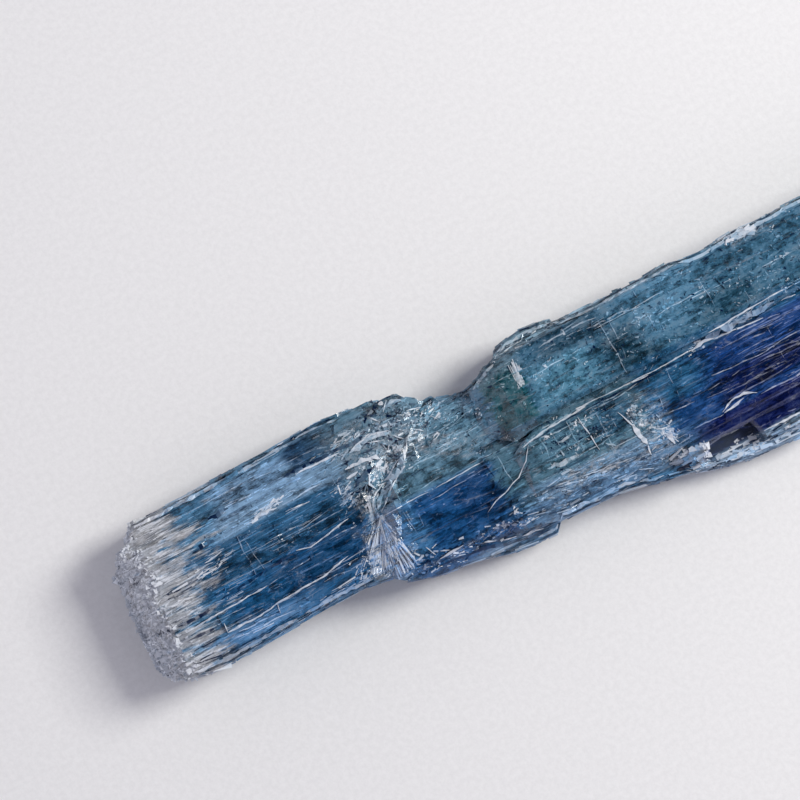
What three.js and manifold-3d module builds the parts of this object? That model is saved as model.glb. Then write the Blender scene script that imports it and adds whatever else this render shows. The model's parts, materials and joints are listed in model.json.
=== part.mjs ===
// A kyanite blade cluster: flat blades that grew side by side and into each other, lying on a
// cleavage face. Four main blades share one axis, and thinner cleavage plates run along one edge.
// All of them have grown together, so the cluster is one solid.
//
// Millimetres. While the blades are shaped, u runs along them from the pale broken end, v runs
// across them from the outermost plate and w stands up from the face that they rest on. At the
// end the cluster is centred, so that its origin is the middle of its footprint and +Z is up.
import * as THREE from "three";
import { mergeVertices } from "three/addons/utils/BufferGeometryUtils.js";
import Module from "manifold-3d";

const wasm = await Module();
wasm.setup();

// Driving dimensions.
const LENGTH = 78; // along the blades, from the pale end to the far tip
const WIDTH = 17.4; // across them, with the edge plates
const END_TOP = 5.2; // how high the pale-end blade stands
const MIDDLE_TOP = 4.5;
const UPPER_TOP = 5.8; // the tallest blade
const LOWER_TOP = 5.1;
const SEAM_V = 9.1; // the seam where the upper blade stands above the lower one
const RUN_PAST = 5; // how far a cutting prism runs past what it cuts
const KINK_DEPTH = 0.45; // of the groove where the blades were bent and crushed
const KINK_HALF_WIDTH = 1.7;

const CRYSTAL_COLOUR = 0x2f5f86;

// A closed geometry as a solid.
function solidOf(geometry) {
  const bare = geometry.index ? geometry.toNonIndexed() : geometry.clone();
  bare.deleteAttribute("normal");
  bare.deleteAttribute("uv");
  const merged = mergeVertices(bare, 1e-4);
  const mesh = new wasm.Mesh({
    numProp: 3,
    vertProperties: new Float32Array(merged.attributes.position.array),
    triVerts: new Uint32Array(merged.index.array),
  });
  return new wasm.Manifold(mesh);
}

// A solid as a geometry.
function geometryOf(solid) {
  const mesh = solid.getMesh();
  const places = new Float32Array(mesh.numVert * 3);
  for (let i = 0; i < mesh.numVert; i++) {
    const first = i * mesh.numProp;
    places.set(mesh.vertProperties.subarray(first, first + 3), i * 3);
  }
  const geometry = new THREE.BufferGeometry();
  geometry.setAttribute("position", new THREE.BufferAttribute(places, 3));
  geometry.setIndex(new THREE.BufferAttribute(new Uint32Array(mesh.triVerts), 1));
  return geometry;
}

function shapeOf(points) {
  return new THREE.Shape(points.map(([x, y]) => new THREE.Vector2(x, y)));
}

function extruded(points, depth) {
  return new THREE.ExtrudeGeometry(shapeOf(points), { depth, bevelEnabled: false });
}

// An outline seen from above, in u and v, as a prism that stands from low to high.
function planPrism(points, low, high) {
  return solidOf(extruded(points, high - low).translate(0, 0, low));
}

// A cross-section in v and w, as a prism along the whole cluster.
function sectionPrism(points) {
  const prism = extruded(points, LENGTH + 2 * RUN_PAST);
  const turned = new THREE.Matrix4().makeBasis(
    new THREE.Vector3(0, 1, 0),
    new THREE.Vector3(0, 0, 1),
    new THREE.Vector3(1, 0, 0),
  );
  return solidOf(prism.applyMatrix4(turned).translate(-RUN_PAST, 0, 0));
}

// A side view in u and w, as a prism across the whole cluster.
function sidePrism(points) {
  const prism = extruded(points, WIDTH + 2 * RUN_PAST);
  const turned = new THREE.Matrix4().makeBasis(
    new THREE.Vector3(1, 0, 0),
    new THREE.Vector3(0, 0, 1),
    new THREE.Vector3(0, -1, 0),
  );
  return solidOf(prism.applyMatrix4(turned).translate(0, WIDTH + RUN_PAST, 0));
}

// A blade is what its three views have in common.
function blade({ plan, section, side }) {
  const high = UPPER_TOP + RUN_PAST;
  const seenFromAbove = planPrism(plan, -RUN_PAST, high);
  return seenFromAbove.intersect(sectionPrism(section)).intersect(sidePrism(side));
}

// A thin cleavage plate: an outline between two heights, with its upper rim bevelled.
function plate({ plan, low, high, bevel }) {
  const geometry = new THREE.ExtrudeGeometry(shapeOf(plan), {
    depth: high - low - bevel,
    bevelEnabled: true,
    bevelThickness: bevel,
    bevelSize: bevel,
    bevelOffset: -bevel,
    bevelSegments: 1,
  });
  return solidOf(geometry.translate(0, 0, low)).trimByPlane([0, 0, 1], low);
}

// The blade of the pale end, which is splintered there and meets the kink at its other end.
function endBlade() {
  const plan = [
    [0.2, 6.6], [0.9, 5.7], [2.2, 5.2], [4.2, 4.9], [8, 5], [12, 5.2], [15.5, 5.15], [17.6, 4.9],
    [19, 6], [20.5, 9], [22.5, 12], [25.4, 14.8],
    [24.2, 15.6], [23.7, 16.3], [22, 16.65], [19.6, 17.1], [17.5, 17.4], [14, 17.2], [9, 17.05],
    [6, 16.95], [3.1, 17.1], [2.7, 16.1], [1.9, 15.4], [0.9, 14.9], [0.3, 13.9], [0.65, 13.1],
    [0.3, 11.8], [0.1, 10.1], [0, 8],
  ];
  const section = [
    [4.8, 1], [5.4, 0.3], [6.3, 0], [15, 0], [16.6, 0.6], [17.5, 1.6], [17.5, 3.1],
    [16.4, 4.2], [14.7, 4.6], [14.6, END_TOP - 0.25], [12.5, END_TOP - 0.15], [12.4, END_TOP - 0.35],
    [9.9, END_TOP - 0.25], [9.8, END_TOP], [7.2, END_TOP - 0.12], [7.1, END_TOP - 0.3],
    [5.6, END_TOP - 0.7], [4.8, 3.6],
  ];
  const side = [
    [0.7, -1], [26, -1], [26, END_TOP - 1.6], [22, END_TOP + 1], [3.4, END_TOP + 1],
    [2.1, 4.5], [1.5, 3.7], [0.8, 3.1], [0.1, 1.7], [0, 0.7],
  ];
  return blade({ plan, section, side });
}

// The short blade past the kink, which the upper and lower blades grow over.
function middleBlade() {
  const plan = [
    [17.2, 5.1], [18.6, 4], [20.8, 3.4], [23, 3.2], [25.2, 2.8], [29, 2.7], [34, 3.3],
    [34, 13.5], [30.4, 14.7], [28.6, 14.3], [27.2, 14.5], [25.6, 15], [24, 15.4],
    [21.5, 12.4], [19.4, 9.3], [18.2, 6.8],
  ];
  const section = [
    [2.6, 0.9], [3.4, 0.3], [4.6, 0], [12.6, 0], [14.2, 0.4], [15.5, 1], [15.5, 2.4],
    [14.2, 3.3], [12.6, MIDDLE_TOP - 0.5], [9.2, MIDDLE_TOP - 0.3], [9.1, MIDDLE_TOP],
    [4.6, MIDDLE_TOP - 0.2], [4.5, MIDDLE_TOP - 0.5], [3.4, 3.2], [2.6, 2.2],
  ];
  const side = [
    [17, -1], [34, -1], [34, MIDDLE_TOP + 1], [20, MIDDLE_TOP + 1], [17, MIDDLE_TOP - 1.2],
  ];
  return blade({ plan, section, side });
}

// The tall blade on one side of the seam. Its near end is a slanted break.
function upperBlade() {
  const plan = [
    [28.2, 12.6], [28.4, 14.1], [29.6, 14.5], [30.8, 15.4], [32, 15.85], [33.7, 16], [36, 15.75],
    [38.2, 15.55], [42, 15.5], [45.2, 15.6], [46, 15.3], [50, 15.1], [55, 15.35], [60, 15.2],
    [66, 14.9], [70.5, 14.4], [73.4, 13.8], [74.1, 12.6], [73.6, 11.6], [74.9, 10.9], [74.6, 9.4],
    [70, SEAM_V], [62, 9.35], [54, 10.05], [50, 10], [46.4, 9.75], [43.8, 9.45], [40, 9.55],
    [35, 9.65], [32, 9.4], [29.6, 9.1], [27.6, 10.6],
  ];
  const section = [
    [8.9, 0.4], [9.8, 0], [14, 0], [15.2, 0.5], [16.1, 1.5], [16.1, 3.3], [15.4, 4.5],
    [14.7, 5.1], [12.8, UPPER_TOP - 0.4], [12.7, UPPER_TOP - 0.22], [10.2, UPPER_TOP - 0.12],
    [10.1, UPPER_TOP], [9.4, UPPER_TOP - 0.05], [8.9, UPPER_TOP - 0.4],
  ];
  const side = [
    [27, -1], [75.4, -1], [74.8, 2.4], [73.2, 3.3], [72.4, 5.2], [70.6, 5.6], [70, UPPER_TOP + 1],
    [33, UPPER_TOP + 1], [30.4, 5.3], [28.4, 4.3], [27, 3.6],
  ];
  return blade({ plan, section, side });
}

// The deep-coloured blade on the other side of the seam. Its near end is a long low tip.
function lowerBlade() {
  const plan = [
    [26, 6.1], [27.6, 7.5], [29.8, 8.8], [32, 9.6], [34, 10.6], [76, 10.6], [77.4, 9.3],
    [78, 7.6], [77, 6.2], [77.3, 4.9], [75.8, 3.6], [70, 3.1], [62, 2.8], [50, 2.5], [42, 2.8],
    [39.4, 3], [36, 2.7], [30, 2.8], [27.2, 3.5], [26.2, 4.7],
  ];
  const section = [
    [2.3, 1.1], [3.1, 0.4], [4.2, 0], [9.2, 0], [10.7, 0.4], [10.7, LOWER_TOP - 0.1],
    [6.9, LOWER_TOP], [6.8, LOWER_TOP - 0.2], [4.4, LOWER_TOP - 0.4], [4.3, LOWER_TOP - 0.25],
    [3.2, LOWER_TOP - 0.7], [2.3, 3.1],
  ];
  const side = [
    [25, -1], [78.2, -1], [78, 1.6], [77, 3.2], [76.4, 4.7], [74, LOWER_TOP + 1],
    [31, LOWER_TOP + 1], [29, 4.6], [25, 4.4],
  ];
  return blade({ plan, section, side });
}

// The pale plates along the lower edge, a strip on the seam, and a flake on the upper edge.
function edgePlates() {
  const underKink = {
    low: 0.5,
    high: 2.5,
    bevel: 0.25,
    plan: [
      [22.4, 3.6], [24.6, 2.8], [26.2, 2.4], [27.6, 2.2], [29.4, 2.15], [29.9, 2.7], [29, 4],
      [23, 4.4],
    ],
  };
  const underLowerTip = {
    low: 0.3,
    high: 3,
    bevel: 0.3,
    plan: [
      [28.6, 4], [30.2, 2.8], [34.8, 2.6], [36.2, 2.3], [37.2, 1.95], [39.2, 1.75], [40.6, 1.3],
      [42, 3.6],
    ],
  };
  const whiteChip = {
    low: 1.2,
    high: 3.9,
    bevel: 0.3,
    plan: [[39, 2.9], [39.3, 1.9], [41.2, 1.75], [41.6, 2.9], [41.2, 4], [39.4, 3.9]],
  };
  const widest = {
    low: 0,
    high: 2.1,
    bevel: 0.3,
    plan: [
      [39.6, 1.5], [41.2, 1], [43.4, 0.5], [46, 0.15], [49, 0], [54, 0.2], [58.4, 0.6], [61, 1.3],
      [62.4, 3.6], [40, 3.8],
    ],
  };
  const onWidest = {
    low: 0.8,
    high: 3.3,
    bevel: 0.25,
    plan: [[44.6, 3.8], [45.4, 1.2], [48.4, 0.9], [51.2, 1.3], [52.4, 2.4], [52, 3.8]],
  };
  const far = {
    low: 0.2,
    high: 2.9,
    bevel: 0.3,
    plan: [[56, 4], [57, 1.9], [62, 1.5], [68, 1.9], [71.6, 2.4], [72.6, 4.2]],
  };
  const seamStrip = {
    low: UPPER_TOP - 1,
    high: UPPER_TOP + 0.15,
    bevel: 0.12,
    plan: [
      [43.4, 9.5], [46, 9.25], [49, 9], [52.4, 9.3], [51.6, 10.2], [47, 10.05], [44.2, 9.75],
    ],
  };
  const upperFlake = {
    low: 2.6,
    high: 4.75,
    bevel: 0.25,
    plan: [[46.8, 14.6], [47.6, 15.2], [50.4, 15.45], [52.6, 15.2], [52, 14], [49, 13.7]],
  };
  const all = [
    underKink, underLowerTip, whiteChip, widest, onWidest, far, seamStrip, upperFlake,
  ];
  return all.map(plate);
}

// The shallow V-shaped groove that follows the kink, where the first two blades were crushed.
function kinkGroove() {
  const path = [[16.9, 4.2], [18.5, 9.3], [21.2, 12.3], [27.6, 15.6]];
  const corners = path.map(([u, v]) => new THREE.Vector2(u, v));
  const high = END_TOP + 0.4;
  const depth = high - (MIDDLE_TOP - KINK_DEPTH);
  const outline = [[-KINK_HALF_WIDTH, 0], [0, -depth], [KINK_HALF_WIDTH, 0]];
  const legs = corners.slice(1).map((to, i) => {
    const from = corners[i];
    const along = to.clone().sub(from);
    const wedge = extruded(outline, along.length() + KINK_HALF_WIDTH / 2);
    const across = new THREE.Vector3(-along.y, along.x, 0).normalize();
    const forward = new THREE.Vector3(along.x, along.y, 0).normalize();
    const turned = new THREE.Matrix4().makeBasis(across, new THREE.Vector3(0, 0, 1), forward);
    turned.setPosition(from.x, from.y, high);
    return solidOf(wedge.applyMatrix4(turned));
  });
  return legs.reduce((joined, next) => joined.add(next));
}

function cluster() {
  const blades = [endBlade(), middleBlade(), upperBlade(), lowerBlade(), ...edgePlates()];
  const grown = blades.reduce((joined, next) => joined.add(next));
  const notched = grown.subtract(kinkGroove());
  return notched.trimByPlane([0, 0, 1], 0);
}

const geometry = geometryOf(cluster());
geometry.computeBoundingBox();
const { min, max } = geometry.boundingBox;
geometry.translate(-(min.x + max.x) / 2, -(min.y + max.y) / 2, -min.z);
geometry.computeVertexNormals();

const crystal = new THREE.MeshStandardMaterial({
  color: CRYSTAL_COLOUR,
  roughness: 0.25,
  metalness: 0,
});
const blades = new THREE.Mesh(geometry, crystal);
blades.name = "kyanite_blades";

const group = new THREE.Group();
group.add(blades);

export default group;
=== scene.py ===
"""Kyanite blade cluster: glassy blue blades, grown side by side, on a pale studio floor."""

import json
import math
import random
from typing import NamedTuple

import bmesh
import bpy
from bpy.props import FloatProperty, FloatVectorProperty, IntProperty, PointerProperty
from mathutils import Matrix, Vector, noise
from mathutils.bvhtree import BVHTree

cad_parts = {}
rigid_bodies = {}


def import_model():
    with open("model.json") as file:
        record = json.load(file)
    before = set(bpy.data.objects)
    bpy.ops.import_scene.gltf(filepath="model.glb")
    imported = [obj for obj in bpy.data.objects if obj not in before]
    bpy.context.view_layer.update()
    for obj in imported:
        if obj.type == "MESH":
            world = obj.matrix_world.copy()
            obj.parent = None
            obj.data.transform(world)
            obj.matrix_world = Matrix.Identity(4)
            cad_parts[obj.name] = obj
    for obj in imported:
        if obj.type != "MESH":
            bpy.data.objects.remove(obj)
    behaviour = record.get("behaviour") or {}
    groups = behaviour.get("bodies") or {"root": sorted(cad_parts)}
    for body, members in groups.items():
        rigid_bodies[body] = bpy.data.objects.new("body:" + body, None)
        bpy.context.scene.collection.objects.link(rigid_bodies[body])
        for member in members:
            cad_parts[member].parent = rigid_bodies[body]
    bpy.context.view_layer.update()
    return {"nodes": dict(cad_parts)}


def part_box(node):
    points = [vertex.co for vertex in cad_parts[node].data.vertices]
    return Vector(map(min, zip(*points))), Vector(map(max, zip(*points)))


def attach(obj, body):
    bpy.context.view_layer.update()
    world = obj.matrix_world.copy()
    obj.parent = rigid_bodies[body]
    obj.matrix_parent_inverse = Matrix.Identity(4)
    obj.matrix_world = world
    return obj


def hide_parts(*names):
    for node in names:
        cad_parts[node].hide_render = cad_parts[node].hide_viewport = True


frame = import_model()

bl_info = {
    "name": "Kyanite Blade Cluster",
    "version": (1, 0, 0),
    "blender": (4, 5, 0),
    "location": "View3D > Sidebar > Kyanite",
    "description": "Builds a cluster of kyanite blades and a studio around it",
    "category": "Add Mesh",
}

CRYSTAL = "kyanite_blades"
BODY = "root"

# The bench is the specimen's own millimetre frame: u runs along the blades from the pale end,
# v across them from the outermost plate, and w up from the floor.
LOW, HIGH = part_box(CRYSTAL)
MM = 0.001
LENGTH, WIDTH, HEIGHT = (HIGH - LOW) / MM
TO_BENCH = Matrix.Scale(1 / MM, 4) @ Matrix.Translation(-LOW)
FROM_BENCH = TO_BENCH.inverted()
CLEAVAGE = math.tan(math.radians(11))  # the side cleavage leans 11 degrees off upright


def linear(red, green, blue):
    """A colour given as 0 to 255 screen values, as the linear colour that a shader takes."""
    shares = (channel / 255 for channel in (red, green, blue))
    return tuple(s / 12.92 if s <= 0.04045 else ((s + 0.055) / 1.055) ** 2.4 for s in shares)


# ------------------------------------------------------------------ settings


class BladeSettings(bpy.types.PropertyGroup):
    seed: IntProperty(name="Seed", description="Changes every random choice", default=7)
    deepest_drop: FloatProperty(
        name="Deepest step",
        description="How far a cleavage lath lies below its neighbours, in millimetres",
        default=0.22,
    )
    overlap: FloatProperty(
        name="Overlap", description="How far laths run into each other, in millimetres", default=0.07
    )
    roll: FloatProperty(
        name="Roll", description="How steeply a lath may lean across the cluster", default=0.05
    )


class FinishSettings(bpy.types.PropertyGroup):
    tint_gain: FloatVectorProperty(
        name="Tint gain",
        description="Lightens the crystal's colours for what its depth swallows",
        default=(1.34, 1.82, 1.94),
    )
    transmission: FloatProperty(
        name="Transmission", description="How much of the crystal is clear", default=0.5, subtype="FACTOR"
    )
    sliver_transmission: FloatProperty(
        name="Sliver transmission", description="How much of a broken sliver is clear", default=0.1,
        subtype="FACTOR",
    )
    ior: FloatProperty(name="IOR", description="Kyanite's refractive index", default=1.72)
    absorption: FloatVectorProperty(
        name="Absorption colour",
        description="What the depth of the crystal lets through",
        default=(0.50, 0.74, 0.90),
        subtype="COLOR",
    )
    density: FloatProperty(name="Absorption density", description="Per metre", default=90.0)
    pale: FloatVectorProperty(
        name="Pale", description="The splintered end", default=linear(240, 241, 244), subtype="COLOR"
    )
    frost: FloatVectorProperty(
        name="Frost", description="Crushed crystal", default=linear(222, 227, 234), subtype="COLOR"
    )


class StudioSettings(bpy.types.PropertyGroup):
    azimuth: FloatProperty(name="Azimuth", default=math.radians(-28), subtype="ANGLE",
                           description="Which way the camera faces, from along +Y")
    elevation: FloatProperty(name="Elevation", default=math.radians(85), subtype="ANGLE",
                             description="How far the camera looks down")
    view_width: FloatProperty(name="View width", default=0.056, unit="LENGTH",
                              description="How much of the bench the picture takes in")
    lens: FloatProperty(name="Lens", description="Focal length in millimetres", default=100.0)
    key_power: FloatProperty(name="Key power", description="In watts", default=1.8)
    fill_power: FloatProperty(name="Fill power", description="In watts", default=0.2)
    key_size: FloatProperty(name="Key size", default=0.15, unit="LENGTH",
                            description="Side of the key light's soft box")
    glow: FloatProperty(name="Glow", description="Light from the walls of the room", default=0.58)
    floor: FloatVectorProperty(name="Floor", description="The floor's colour",
                               default=(0.79, 0.79, 0.785), subtype="COLOR")


# ------------------------------------------------------------------ meshes


def cad_copy():
    """The cluster's solid as a closed bmesh on the bench."""
    bm = bmesh.new()
    bm.from_mesh(frame["nodes"][CRYSTAL].data)
    bmesh.ops.remove_doubles(bm, verts=bm.verts, dist=MM / 1000)
    bmesh.ops.transform(bm, matrix=TO_BENCH, verts=bm.verts)
    return bm


def bench_object(name, bm, collection=None):
    """A bmesh as a linked object, still in bench millimetres."""
    bmesh.ops.recalc_face_normals(bm, faces=bm.faces)
    mesh = bpy.data.meshes.new(name)
    bm.to_mesh(mesh)
    bm.free()
    piece = bpy.data.objects.new(name, mesh)
    (collection or bpy.context.scene.collection).objects.link(piece)
    return piece


def finished(piece, material):
    """Puts a bench piece in the frame, rides it on the cluster's body and gives it its finish."""
    piece.data.transform(FROM_BENCH)
    piece.data.materials.clear()
    piece.data.materials.append(material)
    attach(piece, BODY)
    return piece


def apply_modifiers(piece):
    """Gives a piece the mesh that its modifiers make."""
    graph = bpy.context.evaluated_depsgraph_get()
    mesh = bpy.data.meshes.new_from_object(piece.evaluated_get(graph))
    old = piece.data
    piece.modifiers.clear()
    piece.data = mesh
    bpy.data.meshes.remove(old)
    mesh.name = piece.name


class Tops:
    """Looks up how high a shape stands at a place on the bench."""

    def __init__(self, bm):
        self.tree = BVHTree.FromBMesh(bm)

    def at(self, u, v):
        """The height at a place, or None beside the shape."""
        hit = self.tree.ray_cast(Vector((u, v, 3 * HEIGHT)), Vector((0, 0, -1)))[0]
        return hit.z if hit else None

    def end(self, v, w, side):
        """Where the shape's end lies, at the near end for side -1 and the far end for 1."""
        start = Vector((LENGTH / 2 + side * LENGTH, v, w))
        hit = self.tree.ray_cast(start, Vector((-side, 0, 0)))[0]
        return hit.x if hit else None

    def flank(self, u, w, side):
        """Where the shape's flank lies, towards low v for side -1 and towards high v for 1."""
        hit = self.tree.ray_cast(Vector((u, side * LENGTH, w)), Vector((0, -side, 0)))[0]
        return hit.y if hit else None

    def reach(self, u0, u1, v, step=0.25):
        """The stretch from u0 to u1 where the shape is solid at v, or None."""
        found = [u0 + i * step for i in range(int((u1 - u0) / step) + 1)]
        found = [u for u in found if self.at(u, v) is not None]
        return (found[0], found[-1]) if found else None


def body_tops():
    """The heights of the finished body."""
    bm = bmesh.new()
    bm.from_mesh(bpy.data.objects["kyanite_body"].data)
    bmesh.ops.transform(bm, matrix=TO_BENCH, verts=bm.verts)
    tops = Tops(bm)
    bm.free()
    return tops


# ------------------------------------------------------------------ the blades

LATH_CUT = 1.1  # how far apart the places are where a lath bends to follow the cluster
CORE_SHARE = (0.985, 0.95, 0.93, 1)  # how much of the cluster the core inside the laths fills
DROPS = (0, 0.1, 0.2, 0.4, 0.7, 1)  # how low laths may lie, as shares of the deepest step
SHORTEST_REACH = 0.6  # a shorter strip of the cluster gets no laths


def kink_at(v):
    """Where the kink crosses the cluster at v."""
    return 17.2 + 0.3 * max(0, v - 4.2) + 0.075 * max(0, v - 8) ** 2


# How each stretch of the cluster is split into laths: where it starts and ends at v, how wide
# the narrowest and widest laths are, and how long the shortest and longest, in millimetres.
STRETCHES = (
    {"start": lambda v: -0.5, "end": kink_at, "widths": (0.35, 1.2), "lengths": (4, 16)},
    {"start": kink_at, "end": lambda v: 30, "widths": (0.5, 1.5), "lengths": (3, 10)},
    {"start": lambda v: 28, "end": lambda v: 79, "widths": (0.6, 2.0), "lengths": (6, 26)},
)


def steps(rng, start, end, short, long):
    """Cuts start to end into random steps, as pairs."""
    cuts = [start]
    while cuts[-1] < end - short:
        cuts.append(min(cuts[-1] + rng.uniform(short, long), end))
    if len(cuts) == 1:
        cuts.append(end)
    cuts[-1] = end
    return list(zip(cuts, cuts[1:]))


def lath(rng, tops, span_u, span_v, drop, roll):
    """One cleavage lath: a long sheared bar whose top follows the cluster, a little lower."""
    (u0, u1), (v0, v1) = span_u, span_v
    length, width, middle = u1 - u0, v1 - v0, (v0 + v1) / 2
    bm = bmesh.new()
    place = Matrix.Translation(((u0 + u1) / 2, middle, HEIGHT / 2))
    bmesh.ops.create_cube(bm, size=1, matrix=place @ Matrix.Diagonal((length, width, HEIGHT, 1)))
    along = [e for e in bm.edges if abs(e.verts[0].co.x - e.verts[1].co.x) > length / 2]
    bmesh.ops.subdivide_edges(bm, edges=along, cuts=max(1, int(length / LATH_CUT)))
    slant = {-1: rng.uniform(-0.6, 0.6), 1: rng.uniform(-0.6, 0.6)}
    lean = {-1: rng.uniform(-0.3, 0.1), 1: rng.uniform(-0.1, 0.3)}
    seed = rng.uniform(0, 100)
    for vert in bm.verts:
        u, v, w = vert.co
        side = -1 if v < middle else 1
        top = w > HEIGHT / 2
        wander = noise.noise(Vector((u * 0.22, seed, side)))
        jitter = noise.noise(Vector((u * 1.7, seed, side + 5)))
        here = tops.at(min(max(u, u0 + 0.3), u1 - 0.3), middle)
        here = HEIGHT / 2 if here is None else here
        uneven = 0.05 * wander + 0.02 * jitter
        vert.co.z = here - drop + side * roll * width / 2 + uneven if top else -1
        vert.co.y += 0.06 * wander + 0.02 * jitter + CLEAVAGE * (vert.co.z - HEIGHT)
        for end, limit in ((-1, u0), (1, u1)):
            if abs(u - limit) < 1e-4:
                vert.co.x += slant[end] * side * width / 2 + lean[end] * (1 if top else -1)
    bmesh.ops.recalc_face_normals(bm, faces=bm.faces)
    return bm


def boolean(piece, operation, other):
    """Joins or trims a closed piece with another, or with all the pieces of a collection."""
    modifier = piece.modifiers.new(operation.lower(), "BOOLEAN")
    modifier.operation = operation
    modifier.solver = "MANIFOLD"
    if isinstance(other, bpy.types.Collection):
        modifier.operand_type, modifier.collection = "COLLECTION", other
    else:
        modifier.object = other


def cluster_body(settings):
    """The cluster, split into laths along its cleavage and grown back into one closed skin."""
    rng = random.Random(settings.seed)
    solid = cad_copy()
    tops = Tops(solid)
    laths = bpy.data.collections.new("laths")
    bpy.context.scene.collection.children.link(laths)
    drops = [settings.deepest_drop * share for share in DROPS]
    over = settings.overlap
    for stretch in STRETCHES:
        for v0, v1 in steps(rng, -0.2, WIDTH + 1.2, *stretch["widths"]):
            middle = (v0 + v1) / 2
            reach = tops.reach(stretch["start"](middle), stretch["end"](middle), middle)
            if reach is None or reach[1] - reach[0] < SHORTEST_REACH:
                continue
            for u0, u1 in steps(rng, reach[0] - 0.5, reach[1] + 0.5, *stretch["lengths"]):
                span_u = (u0 - 4 * over, u1 + 4 * over)
                span_v = (v0 - over, v1 + over)
                roll = rng.uniform(-settings.roll, settings.roll)
                bench_object("lath", lath(rng, tops, span_u, span_v, rng.choice(drops), roll), laths)
    core = solid.copy()
    centre = Matrix.Translation((LENGTH / 2, WIDTH / 2, 0))
    shrink = centre @ Matrix.Diagonal(CORE_SHARE) @ centre.inverted()
    bmesh.ops.transform(core, matrix=shrink, verts=core.verts)
    body = bench_object("kyanite_body", core)
    limit = bench_object("limit", solid)
    boolean(body, "UNION", laths)
    boolean(body, "INTERSECT", limit)
    apply_modifiers(body)
    for piece in list(laths.objects) + [limit]:
        bpy.data.objects.remove(piece)
    bpy.data.collections.remove(laths)
    return body


# ------------------------------------------------------------------ small pieces


BATCH = 60  # slivers
SPRAY_STEP, LEDGE_STEP, RIM_STEP = 0.2, 0.3, 0.7  # how far apart places along a line are
LEDGE_FLOOR = 1  # a strip keeps above this height
LEDGE_JUMP = 0.45  # a strip breaks off where the surface steps by more
STRIP_THICKNESS, RIM_THICKNESS, STREAK_THICKNESS = 0.14, 0.1, 0.08
STRIP_LIFT = 0.05  # how far the listed strips stand proud


def toned_bmesh():
    """An empty bmesh whose faces carry a tone: -1 dark, 0 the crystal's own colour, 1 white."""
    bm = bmesh.new()
    bm.faces.layers.float.new("Tone")
    return bm


def paint(bm, verts, tone):
    """Gives the faces of new vertices a tone."""
    layer = bm.faces.layers.float["Tone"]
    for face in {face for vert in verts for face in vert.link_faces}:
        face[layer] = tone


def add_sliver(bm, rng, start, end, width, thickness, tone):
    """An angular sliver from start to end, thinner at one end than at the other."""
    run = end - start
    turn = run.to_track_quat("X", "Z")
    middle = (start + end) / 2
    shares = {True: rng.uniform(0.25, 1), False: rng.uniform(0.25, 1)}
    made = bmesh.ops.create_cube(bm, size=1)["verts"]
    for vert in made:
        x, y, z = vert.co
        share = shares[x > 0]
        knock = Vector([rng.uniform(-0.25, 0.25) * width for _ in range(3)])
        knock.z *= 0.4
        vert.co = middle + turn @ (Vector((x * run.length, y * width * share, z * thickness)) + knock)
    paint(bm, made, tone)


def add_fan(bm, rng, tops, root, angles, reach, lengths, count, tone):
    """Slivers that spread from a root, between two angles from the blades' length."""

    def add_one(batch):
        angle = math.radians(rng.triangular(*angles))
        toward = Vector((math.cos(angle), math.sin(angle)))
        start = Vector(root) + Vector((rng.gauss(0, 0.12), rng.gauss(0, 0.12)))
        start += toward * rng.uniform(0, reach)
        end = start + toward * rng.uniform(*lengths)
        heights = tops.at(*start), tops.at(*end)
        if None not in heights:
            start, end = Vector((*start, heights[0] - 0.02)), Vector((*end, heights[1] - 0.01))
            add_sliver(batch, rng, start, end, rng.uniform(0.05, 0.17), 0.1, rng.uniform(*tone))

    add_in_batches(bm, count, add_one)


def along_path(points, step):
    """Places along a line of points, about a step apart, each with its direction."""
    places = []
    for (u0, v0), (u1, v1) in zip(points, points[1:]):
        start, run = Vector((u0, v0)), Vector((u1 - u0, v1 - v0))
        count = max(1, round(run.length / step))
        places += [(start + run * (i / count), run.normalized()) for i in range(count)]
    places.append((Vector(points[-1]), places[-1][1]))
    return places


def add_in_batches(bm, count, add_one):
    """Calls add_one(batch) count times; small batches keep each bmesh operator quick."""
    while count > 0:
        batch = toned_bmesh()
        for _ in range(min(count, BATCH)):
            add_one(batch)
        mesh = bpy.data.meshes.new("batch")
        batch.to_mesh(mesh)
        batch.free()
        bm.from_mesh(mesh)
        bpy.data.meshes.remove(mesh)
        count -= BATCH


def add_spray(bm, rng, tops, spray):
    """Scatters slivers over a band along a line, each lying in the surface under it."""
    places = along_path(spray.line, SPRAY_STEP)

    def add_one(batch):
        here, direction = rng.choice(places)
        across = Vector((-direction.y, direction.x))
        spread = rng.triangular(-spray.spread, spray.spread)
        here = here + across * spread + direction * rng.uniform(-0.2, 0.2)
        if spray.level:
            direction = Vector((1, 0))
        turn = math.radians(spray.turn + rng.gauss(0, spray.scatter))
        length = rng.uniform(*spray.length) * rng.uniform(0.4, 1)
        half = Vector((direction.x, direction.y))
        half.rotate(Matrix.Rotation(turn, 2))
        half *= length / 2
        heights = [tops.at(*(here + half * share)) for share in (-1, 0, 1)]
        if None in heights or max(heights) - min(heights) > 0.5 + 0.4 * length:
            return
        width = rng.uniform(*spray.width)
        thickness = width * 0.8
        proud = spray.proud * thickness - thickness / 2
        clump = spray.clump * noise.noise(Vector((here.x * 0.9, here.y * 1.4, 0)))
        tone = min(1, max(-1, rng.uniform(*spray.tone) + clump))
        start = Vector((*(here - half), heights[0] + proud))
        end = Vector((*(here + half), heights[2] + proud))
        add_sliver(batch, rng, start, end, width, thickness, tone)

    add_in_batches(bm, spray.count, add_one)


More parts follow.
